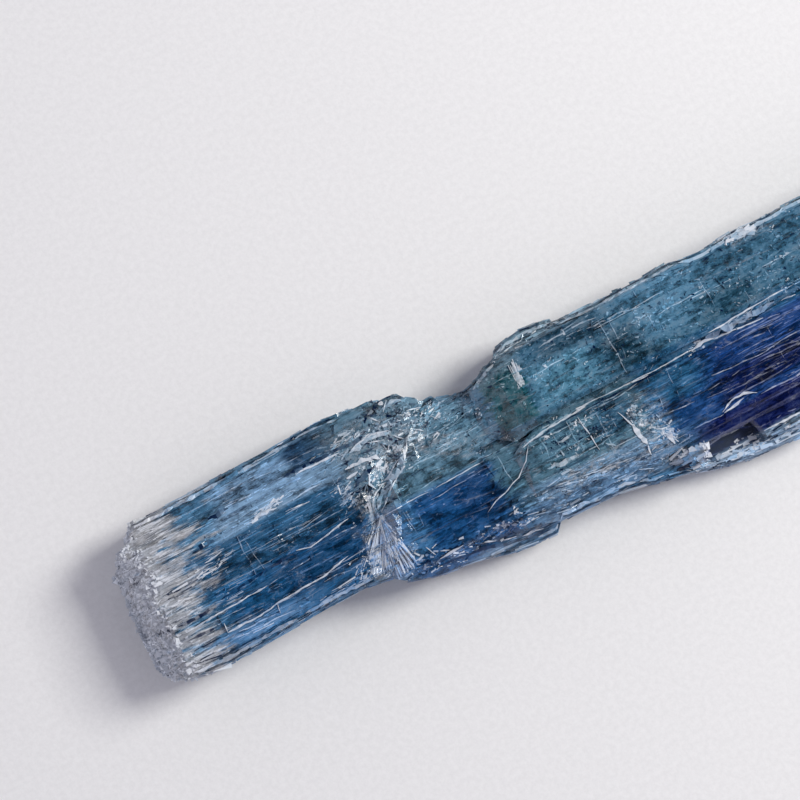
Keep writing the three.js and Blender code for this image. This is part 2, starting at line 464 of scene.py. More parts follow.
def add_ledge(bm, rng, tops, line, width, gaps, thickness, tone, lift=0.015):
    """A ragged strip along a line, just proud of the surface; gaps and high steps break it."""
    places = along_path(line, LEDGE_STEP)
    seed = rng.uniform(0, 100)
    runs = [[]]
    for index, (here, direction) in enumerate(places):
        height = tops.at(*here)
        in_gap = noise.noise(Vector((index * 0.35, seed, 3))) < 2 * gaps - 1
        if height is None or height < LEDGE_FLOOR or in_gap:
            runs.append([])
            continue
        if runs[-1] and abs(height - runs[-1][-1][3]) > LEDGE_JUMP:
            runs.append([])
        runs[-1].append((index, here, direction, height))
    for run in (run for run in runs if len(run) > 1):
        last = len(run) - 1
        made = bmesh.ops.create_grid(bm, x_segments=last, y_segments=1, size=0.5)["verts"]
        for vert in made:
            step = round((vert.co.x + 0.5) * last)
            side = 1 if vert.co.y > 0 else -1
            index, here, direction, height = run[step]
            taper = min(1, 0.2 + 0.4 * min(step, last - step))
            uneven = 0.75 + 1.1 * noise.noise(Vector((index * 0.7, seed, side)))
            wander = 0.10 * noise.noise(Vector((index * 0.25, seed, 9)))
            off = side * max(0.02, width * taper * uneven) / 2 + wander
            u, v = here + Vector((-direction.y, direction.x)) * off
            heights = [tops.at(u + du, v + dv) for du, dv in ((0, 0), (0, 0.1), (0, -0.1))]
            heights = [h for h in heights if h is not None and h > height - 0.6]
            vert.co = Vector((u, v, max([*heights, height - 0.2]) + lift))
        faces = list({face for vert in made for face in vert.link_faces})
        layer = bm.faces.layers.float["Tone"]
        for face in faces:
            face[layer] = rng.uniform(*tone)
        bmesh.ops.solidify(bm, geom=faces, thickness=thickness)


# WHITE strips are frosted edges carrying painted glints; DARK strips are painted shade: shadow lines beside
# bright ledges and ridges, and dark outlines along the edges.
WHITE = (0.6, 1.0)
SOFT = (0.15, 0.55)
DARK = (-1.0, -0.6)

# Strips on the surface: broken steps, whose white is partly their frosted edge and partly a
# painted glint, crushed ridges, and painted shadow lines beside them. Each is a line on the
# bench, the strip's width, its gaps and its tones.
STRIPS = (
    # the seam between the upper and the lower blade
    (((29.8, 8.5), (31.6, 8.85), (33.3, 8.95), (35.3, 9.05)), 0.15, 0.0, WHITE),
    (((35.2, 9.05), (38, 9.0), (41, 8.95), (43.6, 8.95)), 0.1, 0.1, WHITE),
    (((33.6, 8.98), (35.0, 9.03)), 0.15, 0.0, WHITE),
    (((37.8, 8.98), (39.9, 8.95)), 0.13, 0.0, WHITE),
    (((44.6, 9.3), (47, 9.25), (50, 9.2)), 0.6, 0.1, (0.2, 0.45)),
    (((43.4, 8.98), (44.4, 9.1), (45.4, 9.0)), 0.3, 0.0, WHITE),
    (((45.2, 8.95), (47, 8.8), (48.9, 8.65)), 0.14, 0.1, WHITE),
    (((44.9, 9.5), (47.4, 9.6), (49.8, 9.7), (51.7, 9.65)), 0.12, 0.1, WHITE),
    (((46.6, 8.9), (46.5, 9.5)), 0.1, 0.0, SOFT),
    (((48.2, 8.8), (48.3, 9.6)), 0.1, 0.0, SOFT),
    (((30.5, 8.6), (35.3, 8.85), (43.6, 8.7), (49, 8.85)), 0.12, 0.2, DARK),
    (((50.5, 9.05), (55, 9.1), (62, 9.05), (69, 9.1)), 0.12, 0.3, WHITE),
    (((40.2, 9.1), (40.6, 9.35), (41.0, 9.75)), 0.07, 0.0, SOFT),
    (((39.8, 8.95), (39.75, 8.4)), 0.07, 0.0, SOFT),
    # the low tip of the lower blade
    (((25.6, 5.7), (26.7, 6.2), (28.6, 6.85), (29.6, 7.6), (30.2, 8.5)), 0.09, 0.1, WHITE),
    (((26.9, 6.1), (28.8, 6.7), (29.8, 7.4)), 0.1, 0.1, DARK),
    # the end blade
    (((15.0, 14.25), (17, 14.26), (18.4, 14.2)), 0.17, 0.0, WHITE),
    (((14.2, 14.5), (17.1, 14.48), (18.4, 14.45), (19.8, 14.3), (20.9, 14.6)), 0.3, 0.1, DARK),
    # painted glint: a broad white streak for the bright spot where this face catches the light
    (((10.7, 12.75), (11.7, 12.92), (12.8, 12.85)), 0.36, 0.0, WHITE),
    (((13.2, 12.3), (14.2, 12.25), (15, 12.25)), 0.12, 0.0, WHITE),
    (((3.5, 10.0), (4.2, 10.15), (5.0, 10.08)), 0.2, 0.0, WHITE),
    (((6.6, 11.8), (7.2, 11.85), (8.0, 12.0)), 0.18, 0.0, WHITE),
    (((3.1, 8.15), (5.05, 8.2), (6.7, 8.25), (8.2, 8.3), (9.7, 8.35)), 0.13, 0.15, WHITE),
    (((9.7, 8.35), (12, 8.6), (13.5, 8.7)), 0.09, 0.3, SOFT),
    (((5.8, 6.85), (7.5, 6.8), (9.75, 6.98), (11.7, 7.1), (13.4, 7.12), (15.6, 7.6)), 0.15, 0.0, WHITE),
    (((9.75, 6.98), (9.6, 6.3)), 0.1, 0.0, WHITE),
    (((5.85, 7.5), (5.82, 6.85)), 0.1, 0.0, WHITE),
    (((12.6, 9.6), (13.6, 9.3), (14.7, 9.5), (16.8, 9.85)), 0.14, 0.1, WHITE),
    (((5.9, 6.5), (8.0, 6.45), (9.6, 6.35)), 0.1, 0.2, SOFT),
    (((6.4, 6.2), (8.8, 6.1), (10.6, 6.0)), 0.12, 0.3, SOFT),
    (((3.0, 8.75), (4.6, 8.7), (5.7, 8.8)), 0.3, 0.1, DARK),
    (((3.2, 7.6), (5.4, 7.5)), 0.22, 0.1, DARK),
    (((6.5, 9.0), (8.4, 9.25), (12, 9.5)), 0.26, 0.15, DARK),
    (((6.2, 12.8), (8.2, 12.9)), 0.4, 0.1, DARK),
    (((8.2, 14.4), (9.8, 14.4)), 0.5, 0.1, DARK),
    # the kink
    (((19.0, 13.85), (20.0, 14.0), (20.9, 14.15), (22.1, 13.8)), 0.5, 0.0, SOFT),
    (((19.2, 13.95), (20.9, 14.3), (22.2, 13.9)), 0.14, 0.2, WHITE),
    (((18.2, 12.95), (19.5, 13.0), (20.5, 12.85), (20.75, 12.4), (20.2, 12.1)), 0.36, 0.0, WHITE),
    (((18.0, 12.35), (18.9, 12.5)), 0.4, 0.0, WHITE),
    (((22.7, 12.5), (21.7, 11.4), (20.7, 10.85), (19.6, 10.25), (18.9, 9.5)), 0.55, 0.0, SOFT),
    (((22.9, 12.7), (21.9, 11.3), (20.7, 10.6), (19.7, 9.7), (19.0, 9.2)), 0.14, 0.1, WHITE),
    (((21.9, 11.9), (20.7, 11.2), (19.4, 10.6), (18.4, 9.8)), 0.14, 0.2, WHITE),
    (((22.5, 15.55), (23.2, 15.65), (23.9, 15.5)), 0.6, 0.0, SOFT),
    (((22.2, 16.1), (23.4, 16.1), (24.1, 15.7)), 0.14, 0.0, DARK),
    (((19.6, 12.0), (19.2, 11.3), (19.5, 10.8)), 0.22, 0.0, WHITE),
    (((20.4, 13.9), (21.3, 13.6)), 0.16, 0.0, WHITE),
    (((22.3, 13.5), (22.8, 13.0)), 0.2, 0.0, WHITE),
    (((21.6, 14.4), (22.3, 14.6)), 0.2, 0.0, WHITE),
    (((23.9, 14.6), (24.9, 14.4)), 0.14, 0.0, WHITE),
    (((21.4, 15.4), (21.9, 14.8)), 0.16, 0.0, WHITE),
    (((22.4, 15.3), (22.9, 15.8)), 0.2, 0.0, WHITE),
    (((23.7, 13.3), (24.3, 12.8)), 0.16, 0.0, WHITE),
    (((25.2, 13.6), (25.6, 13.1)), 0.14, 0.0, WHITE),
    (((19.6, 13.45), (20.9, 13.35)), 0.24, 0.0, DARK),
    (((18.0, 13.3), (19.0, 13.35)), 0.24, 0.0, DARK),
    (((17.2, 12.45), (17.9, 12.6)), 0.4, 0.0, DARK),
    (((18.2, 11.5), (19.2, 11.9), (20.2, 12.2)), 0.4, 0.1, DARK),
    (((18.9, 10.9), (19.3, 10.3)), 0.26, 0.0, DARK),
    (((20.0, 9.9), (20.5, 9.3)), 0.4, 0.0, DARK),
    (((21.3, 12.7), (21.9, 12.1)), 0.3, 0.0, DARK),
    (((21.0, 15.9), (22.0, 15.3)), 0.3, 0.0, DARK),
    (((22.8, 14.3), (23.6, 14.9)), 0.3, 0.0, DARK),
    # the middle blade
    (((18.9, 8.9), (22, 8.9), (25.2, 8.95), (27.0, 9.0)), 0.08, 0.25, WHITE),
    (((22.5, 8.3), (25, 8.4), (26.6, 8.5)), 0.06, 0.35, SOFT),
    (((20.3, 4.5), (22, 4.45), (23, 4.5)), 0.2, 0.4, WHITE),
    (((24.4, 4.0), (25.2, 3.7)), 0.2, 0.0, WHITE),
    (((25.7, 3.5), (26.6, 3.3)), 0.26, 0.0, WHITE),
    (((27.0, 3.1), (27.7, 3.05), (28.6, 2.95)), 0.18, 0.1, WHITE),
    (((21.4, 4.9), (22.0, 4.6)), 0.16, 0.0, WHITE),
    (((20.6, 5.6), (21.0, 4.8)), 0.12, 0.0, WHITE),
    (((21, 4.0), (24.4, 3.6), (27.0, 2.9), (29, 2.6)), 0.25, 0.2, DARK),
    # the lower blade
    (((43.8, 6.75), (45.3, 6.6), (48.0, 6.5), (49.3, 6.65), (55, 6.7)), 0.09, 0.2, SOFT),
    (((40.0, 5.9), (41.9, 5.7)), 0.09, 0.1, SOFT),
    (((41.0, 4.1), (41.9, 4.05), (43.3, 4.0)), 0.12, 0.1, SOFT),
    (((43.3, 4.2), (44.2, 4.6), (45.2, 4.65), (46.1, 4.25)), 0.15, 0.0, WHITE),
    (((43.4, 4.08), (44.2, 4.15), (45.1, 4.35)), 0.2, 0.0, WHITE),
    (((43.8, 4.35), (45.1, 4.5)), 0.1, 0.0, DARK),
    (((46.3, 4.1), (47.5, 4.05), (49.4, 4.0), (52, 4.1)), 0.1, 0.15, SOFT),
    (((42.0, 1.55), (44.2, 1.6), (46.1, 1.65), (50, 1.55)), 0.18, 0.0, WHITE),
    (((43.1, 2.1), (46.4, 2.05), (50, 1.95)), 0.22, 0.45, SOFT),
    (((55, 6.9), (60, 6.8), (66, 6.9)), 0.08, 0.4, SOFT),
    (((30.5, 5.1), (33.5, 4.7), (36.5, 4.3)), 0.12, 0.3, SOFT),
    (((34.15, 8.6), (34.3, 7.2), (34.45, 5.9)), 0.11, 0.0, WHITE),
    (((33.3, 8.7), (33.35, 8.0)), 0.08, 0.0, SOFT),
    (((31.5, 7.9), (32.4, 7.6), (33.2, 7.8)), 0.3, 0.3, SOFT),
    (((30.6, 6.4), (31.8, 6.2), (33.0, 6.3)), 0.35, 0.3, SOFT),
    (((35.0, 6.1), (35.6, 5.5)), 0.3, 0.1, SOFT),
    # bruises near the end of the deep-coloured part
    (((36.8, 7.6), (37.2, 6.5), (37.4, 6.0)), 0.1, 0.0, WHITE),
    (((37.3, 6.3), (37.4, 5.5), (37.6, 4.7)), 0.5, 0.0, WHITE),
    (((37.6, 4.6), (37.5, 3.9)), 0.2, 0.0, WHITE),
    (((38.5, 5.4), (39.0, 5.15), (39.6, 5.05)), 0.14, 0.0, WHITE),
    (((39.3, 5.1), (39.25, 4.5), (39.35, 3.8)), 0.5, 0.0, WHITE),
    (((39.6, 4.0), (40.5, 3.95), (40.4, 3.75), (39.5, 3.65)), 0.07, 0.0, SOFT),
    # the chips and plates along the lower side
    (((39.2, 2.85), (40.4, 2.8), (41.5, 2.8)), 0.16, 0.0, WHITE),
    (((41.5, 2.8), (41.4, 2.1)), 0.12, 0.0, WHITE),
    (((39.2, 2.8), (39.4, 1.8), (40.5, 1.15)), 0.2, 0.0, WHITE),
    (((39.5, 2.3), (41.2, 2.2)), 0.8, 0.0, SOFT),
    (((41.6, 1.5), (43, 1.0), (45, 0.95)), 0.5, 0.2, (0.4, 0.8)),
    (((44.6, 0.55), (45.9, 0.5)), 0.14, 0.0, WHITE),
    (((44.9, 1.2), (44.85, 0.75)), 0.1, 0.0, WHITE),
    (((46.4, 0.75), (47.5, 0.65)), 0.2, 0.0, WHITE),
    (((45.0, 0.85), (46.6, 0.95), (49, 0.8)), 0.16, 0.2, DARK),
    (((41.8, 1.0), (43.6, 0.6)), 0.14, 0.2, DARK),
)

# The outline's edges: from where to where, and the side: -1 at low v, 1 at high v. A dark, a
# light and a dark band follow each edge: the dark bands are painted shade and the light band a
# painted highlight, for the way the steep sides bend the light.
RIMS = ((3.2, 19.6, 1), (28.0, 74, 1), (2.4, 16.6, -1), (28.0, 38.4, -1))
RIM_SHADE_AND_HIGHLIGHT_BANDS = (
    {"inset": 0.1, "width": 0.12, "gaps": 0.1, "tone": DARK},
    {"inset": 0.34, "width": 0.3, "gaps": 0.15, "tone": SOFT},
    {"inset": 0.62, "width": 0.08, "gaps": 0.4, "tone": DARK},
)

# Cleavage steps drawn at random: the stretch along and across, how many, and their tones.
STREAKS = (
    ((4.5, 17), (5.8, 9.6), 12, (0.1, 0.5)),
    ((4.5, 17), (9.8, 16.2), 22, (0.1, 0.5)),
    ((19, 28), (6.0, 12.5), 14, (0.05, 0.35)),
    ((29, 77), (10.4, 15.2), 30, (0.1, 0.5)),
    ((30, 39), (5.0, 9.2), 12, (0.1, 0.5)),
    ((43, 77), (3.2, 9.2), 50, (0.03, 0.22)),
    ((42.5, 53), (4.2, 8.6), 34, (0.12, 0.4)),
    ((42.5, 53), (4.2, 8.4), 22, (-1.0, -0.6)),
)

# Healed cracks across the blades: where along them, and from where to where across.
CROSS_CRACKS = (
    (9.4, 9.2, 12.4), (9.9, 9.5, 12.0), (17.15, 10.2, 12.8), (20.5, 6.0, 8.6), (21.2, 5.2, 8.2),
    (28.0, 6.6, 8.9), (31.2, 7.0, 8.6), (32.1, 7.2, 8.8), (33.3, 6.0, 8.9), (34.3, 5.8, 8.8),
    (35.4, 5.2, 8.9), (36.2, 5.8, 8.9), (38.6, 9.4, 13.9), (39.2, 10.6, 13.4), (41.8, 9.6, 14.6),
    (42.3, 9.4, 11.6), (46.2, 10.0, 12.9), (48.6, 10.0, 12.0), (39.9, 6.2, 8.9), (41.2, 6.7, 8.9),
    (48.85, 4.9, 7.9), (53.5, 10.5, 14), (55, 4, 8.5), (58.2, 10, 13.5), (61, 3.6, 8),
    (64.5, 9.8, 14.2), (69, 4, 8.8), (71.2, 10, 13),
)


class Spray(NamedTuple):
    """A band of slivers: a line on the bench, how far they spread from it and how many there are.

    Then come their lengths, widths and tones, how far in degrees they scatter and turn from the
    line, how strongly light and dark ones keep together, how much of their thickness stands
    proud, and whether they lie along the blades instead of along the line.
    """

    line: tuple
    spread: float
    count: int
    length: tuple
    width: tuple
    tone: tuple
    scatter: float = 3
    turn: float = 0
    clump: float = 1.0
    proud: float = 0.25
    level: bool = False


SPRAYS = {
    "bruised_edges": (
        # painted glint: white slivers for the same bright spot on the end blade
        Spray(((11, 12.95), (13.2, 13.25)), 0.26, 55, (0.2, 0.9), (0.05, 0.16), (0.5, 1), scatter=9),
        Spray(((29.8, 8.6), (32, 8.95), (35, 9.1)), 0.22, 50, (0.2, 0.9), (0.04, 0.14), (0.3, 1),
              scatter=10),
        Spray(((43.6, 9.05), (47, 9.2), (49.2, 9.4)), 0.4, 160, (0.1, 0.7), (0.04, 0.15), (-0.4, 0.9),
              scatter=14),
        Spray(((37.6, 7.2), (38.6, 5.6), (39.6, 4.4)), 0.8, 340, (0.12, 0.6), (0.05, 0.22), (-0.3, 1),
              scatter=35, clump=1.4),
        Spray(((39.2, 2.7), (41.5, 2.5)), 0.5, 60, (0.4, 1.3), (0.15, 0.45), (0.6, 1), scatter=10),
        Spray(((49, 14.9), (51.2, 14.6)), 0.45, 80, (0.3, 1.2), (0.1, 0.35), (0.3, 1), scatter=14),
        Spray(((5.6, 11.1), (8.4, 11.5)), 0.3, 40, (0.3, 0.9), (0.05, 0.15), (0.3, 0.9), scatter=8),
        Spray(((31.0, 7.6), (36.5, 7.4)), 2.0, 520, (0.05, 0.5), (0.04, 0.15), (-0.8, 0.35), scatter=60,
              clump=1.2),
    ),
    "crushed_kink": (
        Spray(((18.9, 10.6), (20.4, 12.9), (22.4, 14.6), (24.0, 15.5)), 2.2, 440, (0.1, 0.6), (0.06, 0.24),
              (-1, 0.55), scatter=40, turn=-20, clump=1.8),
        Spray(((18.5, 9.7), (19.4, 10.9), (20.6, 12.0), (23.2, 13.0), (26.4, 14.3)), 0.7, 220, (0.2, 0.9),
              (0.06, 0.2), (-0.2, 1), scatter=15, clump=1.8),
        Spray(((18.6, 9.9), (18.3, 8.6), (18.0, 7.2)), 0.35, 90, (0.3, 1.2), (0.06, 0.16), (0.3, 1),
              scatter=9),
        Spray(((16.6, 14.4), (20.5, 14.6)), 0.8, 120, (0.2, 1.1), (0.05, 0.16), (-0.4, 0.9), scatter=14,
              turn=8),
        Spray(((21.5, 12.6), (28.5, 13.2)), 2.4, 600, (0.08, 0.5), (0.04, 0.12), (-0.8, 0.6), scatter=25,
              turn=6),
        Spray(((17.6, 10.6), (17.3, 12.6)), 0.7, 80, (0.2, 0.9), (0.05, 0.12), (-0.3, 0.8), scatter=20,
              turn=-75),
    ),
    "pale_splinters": (
        Spray(((1.2, 5.3), (1.0, 9), (1.9, 12), (1.7, 16.8)), 1.8, 520, (0.15, 0.9), (0.05, 0.2),
              (-0.3, 0.9), scatter=16, clump=1.5, proud=0.1, level=True),
        Spray(((1.0, 5.3), (0.8, 9), (1.6, 12), (1.4, 16.8)), 2.2, 1300, (0.06, 0.35), (0.05, 0.18),
              (-0.5, 0.9), scatter=60, clump=1.5, proud=0.1, level=True),
        Spray(((3.4, 5.4), (3.2, 9), (4.6, 12), (4.4, 16.6)), 2.0, 420, (0.4, 2.4), (0.04, 0.12),
              (-0.7, 0.6), scatter=4, clump=1.3, level=True),
        Spray(((7.0, 5.6), (7.4, 15.6)), 3.0, 200, (0.4, 2.4), (0.03, 0.09), (-0.6, 0.4), scatter=2.5,
              level=True),
    ),
    "edge_flakes": (
        Spray(((18.6, 4.9), (23, 4.3), (27.5, 4.3)), 0.9, 300, (0.1, 0.7), (0.05, 0.2), (-0.9, 0.8),
              scatter=25),
        Spray(((27.5, 4.6), (33, 4.2), (38.5, 3.6)), 1.5, 380, (0.1, 1.4), (0.04, 0.16), (-0.7, 0.5),
              scatter=9),
        Spray(((39.0, 2.1), (41.5, 1.3), (46, 1.0), (60, 0.9), (73, 1.3)), 0.9, 1000, (0.2, 1.4),
              (0.05, 0.28), (-1, 0.9), scatter=12, clump=1.4),
        Spray(((28.6, 14.8), (34, 15.6), (44, 16.0), (60, 16.0), (77, 15.6)), 0.7, 520, (0.2, 1.4),
              (0.05, 0.2), (-0.6, 0.8), scatter=8),
        Spray(((0.8, 17.0), (10, 17.2), (18.5, 17.0)), 0.4, 170, (0.3, 1.4), (0.05, 0.15), (-0.3, 0.8),
              scatter=5),
        Spray(((2, 5.2), (9, 5.2), (16.5, 5.8)), 0.4, 150, (0.3, 1.6), (0.04, 0.12), (0, 0.8), scatter=4),
        Spray(((77.2, 4), (77.2, 15)), 1.2, 330, (0.4, 1.8), (0.08, 0.3), (0, 1), scatter=9, turn=90),
    ),
    "cleavage_fibres": (
        Spray(((3, 11), (18, 11.2)), 6.5, 1100, (0.2, 2.4), (0.03, 0.12), (-0.6, 0.1), scatter=1.5,
              clump=0.45),
        Spray(((18, 9.4), (29, 9.8)), 5.6, 700, (0.1, 1.1), (0.03, 0.12), (-0.8, 0.0), scatter=4,
              clump=0.35),
        Spray(((29, 12.6), (78, 12.4)), 3.8, 2400, (0.06, 0.45), (0.04, 0.18), (-0.9, 0.25), scatter=28,
              clump=0.7),
        Spray(((29, 6.8), (78, 6.4)), 3.6, 2200, (0.2, 2.4), (0.03, 0.11), (-0.7, 0.06), scatter=1.5,
              clump=0.3),
        Spray(((5, 10.8), (78, 10)), 6.0, 3000, (0.06, 0.3), (0.04, 0.12), (-0.8, 0.3), scatter=60,
              clump=0.7),
    ),
}


def rim_line(tops, u0, u1, side, inset):
    """A line that keeps inside the outline by an inset."""
    line = []
    for step in range(int((u1 - u0) / RIM_STEP) + 1):
        u = u0 + RIM_STEP * step
        found = [tops.flank(u, w, side) for w in (1.5, 2.5, 3.5, 4.5)]
        found = [side * v for v in found if v is not None]
        if found:
            line.append((u, side * (max(found) - inset)))
    return line


def sprayed(name, settings, tops):
    """All the slivers of one piece."""
    rng = random.Random(settings.seed + sorted(SPRAYS).index(name))
    bm = toned_bmesh()
    for spray in SPRAYS[name]:
        add_spray(bm, rng, tops, spray)
    return rng, bm


def bruised_edges(settings, tops):
    """Bright broken edges along the cluster's steps, frosted and with painted glints, the painted shadow
    lines beside them, painted shade and a painted highlight in bands along the outline, and the fresh chips
    near them.
    """
    rng, bm = sprayed("bruised_edges", settings, tops)
    for line, width, gaps, tone in STRIPS:
        add_ledge(bm, rng, tops, line, width, gaps, STRIP_THICKNESS, tone, STRIP_LIFT)
    # Along the outline: painted shade in the dark bands and a painted highlight in the light band.
    for u0, u1, side in RIMS:
        for band in RIM_SHADE_AND_HIGHLIGHT_BANDS:
            line = rim_line(tops, u0, u1, side, band["inset"])
            add_ledge(bm, rng, tops, line, band["width"], band["gaps"], RIM_THICKNESS, band["tone"])
    add_fan(bm, rng, tops, (31.75, 12.4), (69, 93), 0.4, (0.6, 1.5), 64, (0.4, 1))
    for (u0, u1), (v0, v1), count, tone in STREAKS:
        for _ in range(count):
            u, v, length = rng.uniform(u0, u1), rng.uniform(v0, v1), rng.uniform(0.8, 6)
            stop = min(u + length, u1)
            line = ((u, v), ((u + stop) / 2, v + rng.gauss(0, 0.05)), (stop, v + rng.gauss(0, 0.12)))
            add_ledge(bm, rng, tops, line, rng.uniform(0.04, 0.13), 0.3, STREAK_THICKNESS, tone)
    return bench_object("bruised_edges", bm)


def crushed_kink(settings, tops):
    """Crushed crystal where the blades were bent, and the fibres that fan out below it."""
    rng, bm = sprayed("crushed_kink", settings, tops)
    add_fan(bm, rng, tops, (18.8, 9.2), (-142, -72), 3.4, (0.6, 2.4), 420, (0.1, 1))
    return bench_object("crushed_kink", bm)


def add_end_rods(bm, rng, tops, side, span_v, count, tone):
    """Crumbs and rods on the broken end: the near one for side -1, the far one for 1."""

    def add_one(batch):
        v, w = rng.uniform(*span_v), rng.uniform(0.3, 5.6)
        end = tops.end(v, w, side)
        if end is None or abs(end - LENGTH / 2) < LENGTH / 2 - 5:
            return
        long = rng.random() < 0.5
        length = rng.uniform(0.4, 1.3) if long else rng.uniform(0.1, 0.45)
        turn = rng.gauss(0, 0.1 if long else 0.5)
        start = Vector((end + side * rng.uniform(-0.05, 0.18), v, w))
        stop = start + length * Vector((-side * math.cos(turn), math.sin(turn), rng.gauss(0, 0.1)))
        width = rng.uniform(0.06, 0.2) if rng.random() < 0.75 else rng.uniform(0.2, 0.5)
        patch = 1.2 * noise.noise(Vector((v * 0.8, w * 1.1, side)))
        add_sliver(batch, rng, start, stop, width, width * 0.6, min(1, rng.uniform(*tone) + patch))

    add_in_batches(bm, count, add_one)


def add_flank_rods(bm, rng, tops, side, span, heights, count, longest, tone):
    """Rods along a flank: the one at low v for side -1, the one at high v for 1."""

    def add_one(batch):
        u, w, half = rng.uniform(*span), rng.uniform(*heights), rng.uniform(0.2, longest / 2)
        found = [tops.flank(u + share * half, w, side) for share in (-1, 0, 1)]
        if None in found or max(found) - min(found) > 0.25 + 0.3 * half:
            return
        out = side * rng.uniform(-0.16, 0.03)
        start = Vector((u - half, found[0] + out, w + rng.gauss(0, 0.04)))
        stop = Vector((u + half, found[2] + out, w + rng.gauss(0, 0.04)))
        width, thickness = rng.uniform(0.08, 0.3), rng.uniform(0.08, 0.25)
        add_sliver(batch, rng, start, stop, width, thickness, rng.uniform(*tone))

    add_in_batches(bm, count, add_one)


def pale_splinters(settings, tops):
    """The splintered end: slivers along the blade, pale towards its tip."""
    rng, bm = sprayed("pale_splinters", settings, tops)
    # Light tones on the near end's rods are painted light: the end face turns away from the key lamp and is
    # lightened as if lit through the crystal.
    add_end_rods(bm, rng, tops, -1, (4.6, 17.2), 2000, (0.45, 1))
    return bench_object("pale_splinters", bm)


def edge_flakes(settings, tops):
    """Thin flakes and rods along the outer edges and the far end."""
    rng, bm = sprayed("edge_flakes", settings, tops)
    add_end_rods(bm, rng, tops, 1, (0.8, 17.2), 1900, (0.1, 1))
    add_flank_rods(bm, rng, tops, 1, (28.5, 77), (2.4, 4.8), 800, 1.6, (-0.7, 0.5))
    add_flank_rods(bm, rng, tops, 1, (1, 27), (1.0, 4.8), 350, 2.4, (-0.5, 0.5))
    add_flank_rods(bm, rng, tops, -1, (1, 77), (0.3, 3.0), 1000, 2.6, (-0.6, 0.7))
    return bench_object("edge_flakes", bm)


def cleavage_fibres(settings, tops):
    """Fine fibres and specks all over the blades."""
    return bench_object("cleavage_fibres", sprayed("cleavage_fibres", settings, tops)[1])


VEILS = 320  # thin light slivers inside the crystal


def sealed_cracks(settings, tops):
    """Healed cracks across the blades and veils along them, sealed in the crystal."""
    rng = random.Random(settings.seed + 5)
    bm = toned_bmesh()
    for u, v0, v1 in CROSS_CRACKS:
        bend = rng.uniform(-0.25, 0.25)
        line = ((u - bend, v0), (u, (v0 + v1) / 2), (u + bend * rng.uniform(-0.5, 1), v1))
        add_ledge(bm, rng, tops, line, 0.09, 0.35, rng.uniform(0.6, 1.6), (0.08, 0.35))
    for _ in range(VEILS):
        u, v = rng.uniform(3, 74), rng.uniform(4, 15.5)
        length = rng.uniform(0.6, 5)
        heights = [tops.at(u + share * length, v) for share in (-0.5, 0, 0.5)]
        if None in heights or min(heights) < 3.5:
            continue
        depth = min(heights) - rng.uniform(0.12, 1.4)
        start, end = Vector((u - length / 2, v, depth)), Vector((u + length / 2, v, depth))
        add_sliver(bm, rng, start, end, rng.uniform(0.03, 0.1), 0.06, rng.uniform(0.4, 1))
    return bench_object("sealed_cracks", bm)


# ------------------------------------------------------------------ finishes


class Nodes:
    """Adds nodes to a tree, with plain values or links for their inputs."""

    def __init__(self, tree):
        self.tree = tree

    def add(self, kind, inputs=None, **settings):
        node = self.tree.nodes.new(kind)
        for name, value in settings.items():
            setattr(node, name, value)
        for key, value in (inputs or {}).items():
            self.feed(node.inputs[key], value)
        return node

    def feed(self, socket, value):
        if isinstance(value, bpy.types.NodeSocket):
            self.tree.links.new(value, socket)
        elif socket.type == "RGBA" and len(value) == 3:
            socket.default_value = (*value, 1)
        else:
            socket.default_value = value

    def maths(self, operation, a, b=0.0):
        return self.add("ShaderNodeMath", {0: a, 1: b}, operation=operation).outputs[0]

    def times(self, a, b):
        return self.maths("MULTIPLY", a, b)

    def minus(self, a, b):
        return self.maths("SUBTRACT", a, b)

    def highest(self, first, *others):
        for other in others:
            first = self.maths("MAXIMUM", first, other)
        return first

    def total(self, *parts):
        """The sum of values, each times its weight."""
        value = 0.0
        for part, weight in parts:
            value = self.maths("ADD", value, self.times(part, weight))
        return value

    def vector(self, operation, a, b=(0, 0, 0)):
        return self.add("ShaderNodeVectorMath", {0: a, 1: b}, operation=operation).outputs[0]

    def parts(self, vector):
        return self.add("ShaderNodeSeparateXYZ", {0: vector}).outputs

    def joined(self, x, y):
        return self.add("ShaderNodeCombineXYZ", {"X": x, "Y": y}).outputs[0]

    def ramp(self, value, low, high, to_low=0.0, to_high=1.0):
        """A soft rise from to_low to to_high while the value goes from low to high."""
        inputs = {"Value": value, "From Min": low, "From Max": high, "To Min": to_low, "To Max": to_high}
        return self.add("ShaderNodeMapRange", inputs, interpolation_type="SMOOTHSTEP").outputs["Result"]

    def noise(self, place, density, detail, roughness):
        """Uneven values, so many to the millimetre along each axis."""
        place = self.vector("MULTIPLY", place, density)
        inputs = {"Vector": place, "Detail": detail, "Roughness": roughness, "Scale": 1.0}
        return self.add("ShaderNodeTexNoise", inputs).outputs["Fac"]

    def cells(self, place, output, **settings):
        inputs = {"Vector": place, "Scale": 1.0}
        return self.add("ShaderNodeTexVoronoi", inputs, **settings).outputs[output]

    def mix(self, share, first, second, blend="MIX"):
        inputs = {0: share, 6: first, 7: second}
        return self.add("ShaderNodeMix", inputs, data_type="RGBA", blend_type=blend).outputs[2]

    def blend(self, share, first, second):
        return self.add("ShaderNodeMix", {0: share, 2: first, 3: second}, data_type="FLOAT").outputs[0]

    def shaded(self, colour, value):
        """A colour made lighter or darker by a value."""
        grey = self.add("ShaderNodeCombineColor", {0: value, 1: value, 2: value}).outputs[0]
        return self.mix(1.0, colour, grey, blend="MULTIPLY")

    def bump(self, relief, strength):
        inputs = {"Height": relief, "Strength": strength, "Distance": 0.05 * MM}
        return self.add("ShaderNodeBump", inputs).outputs[0]


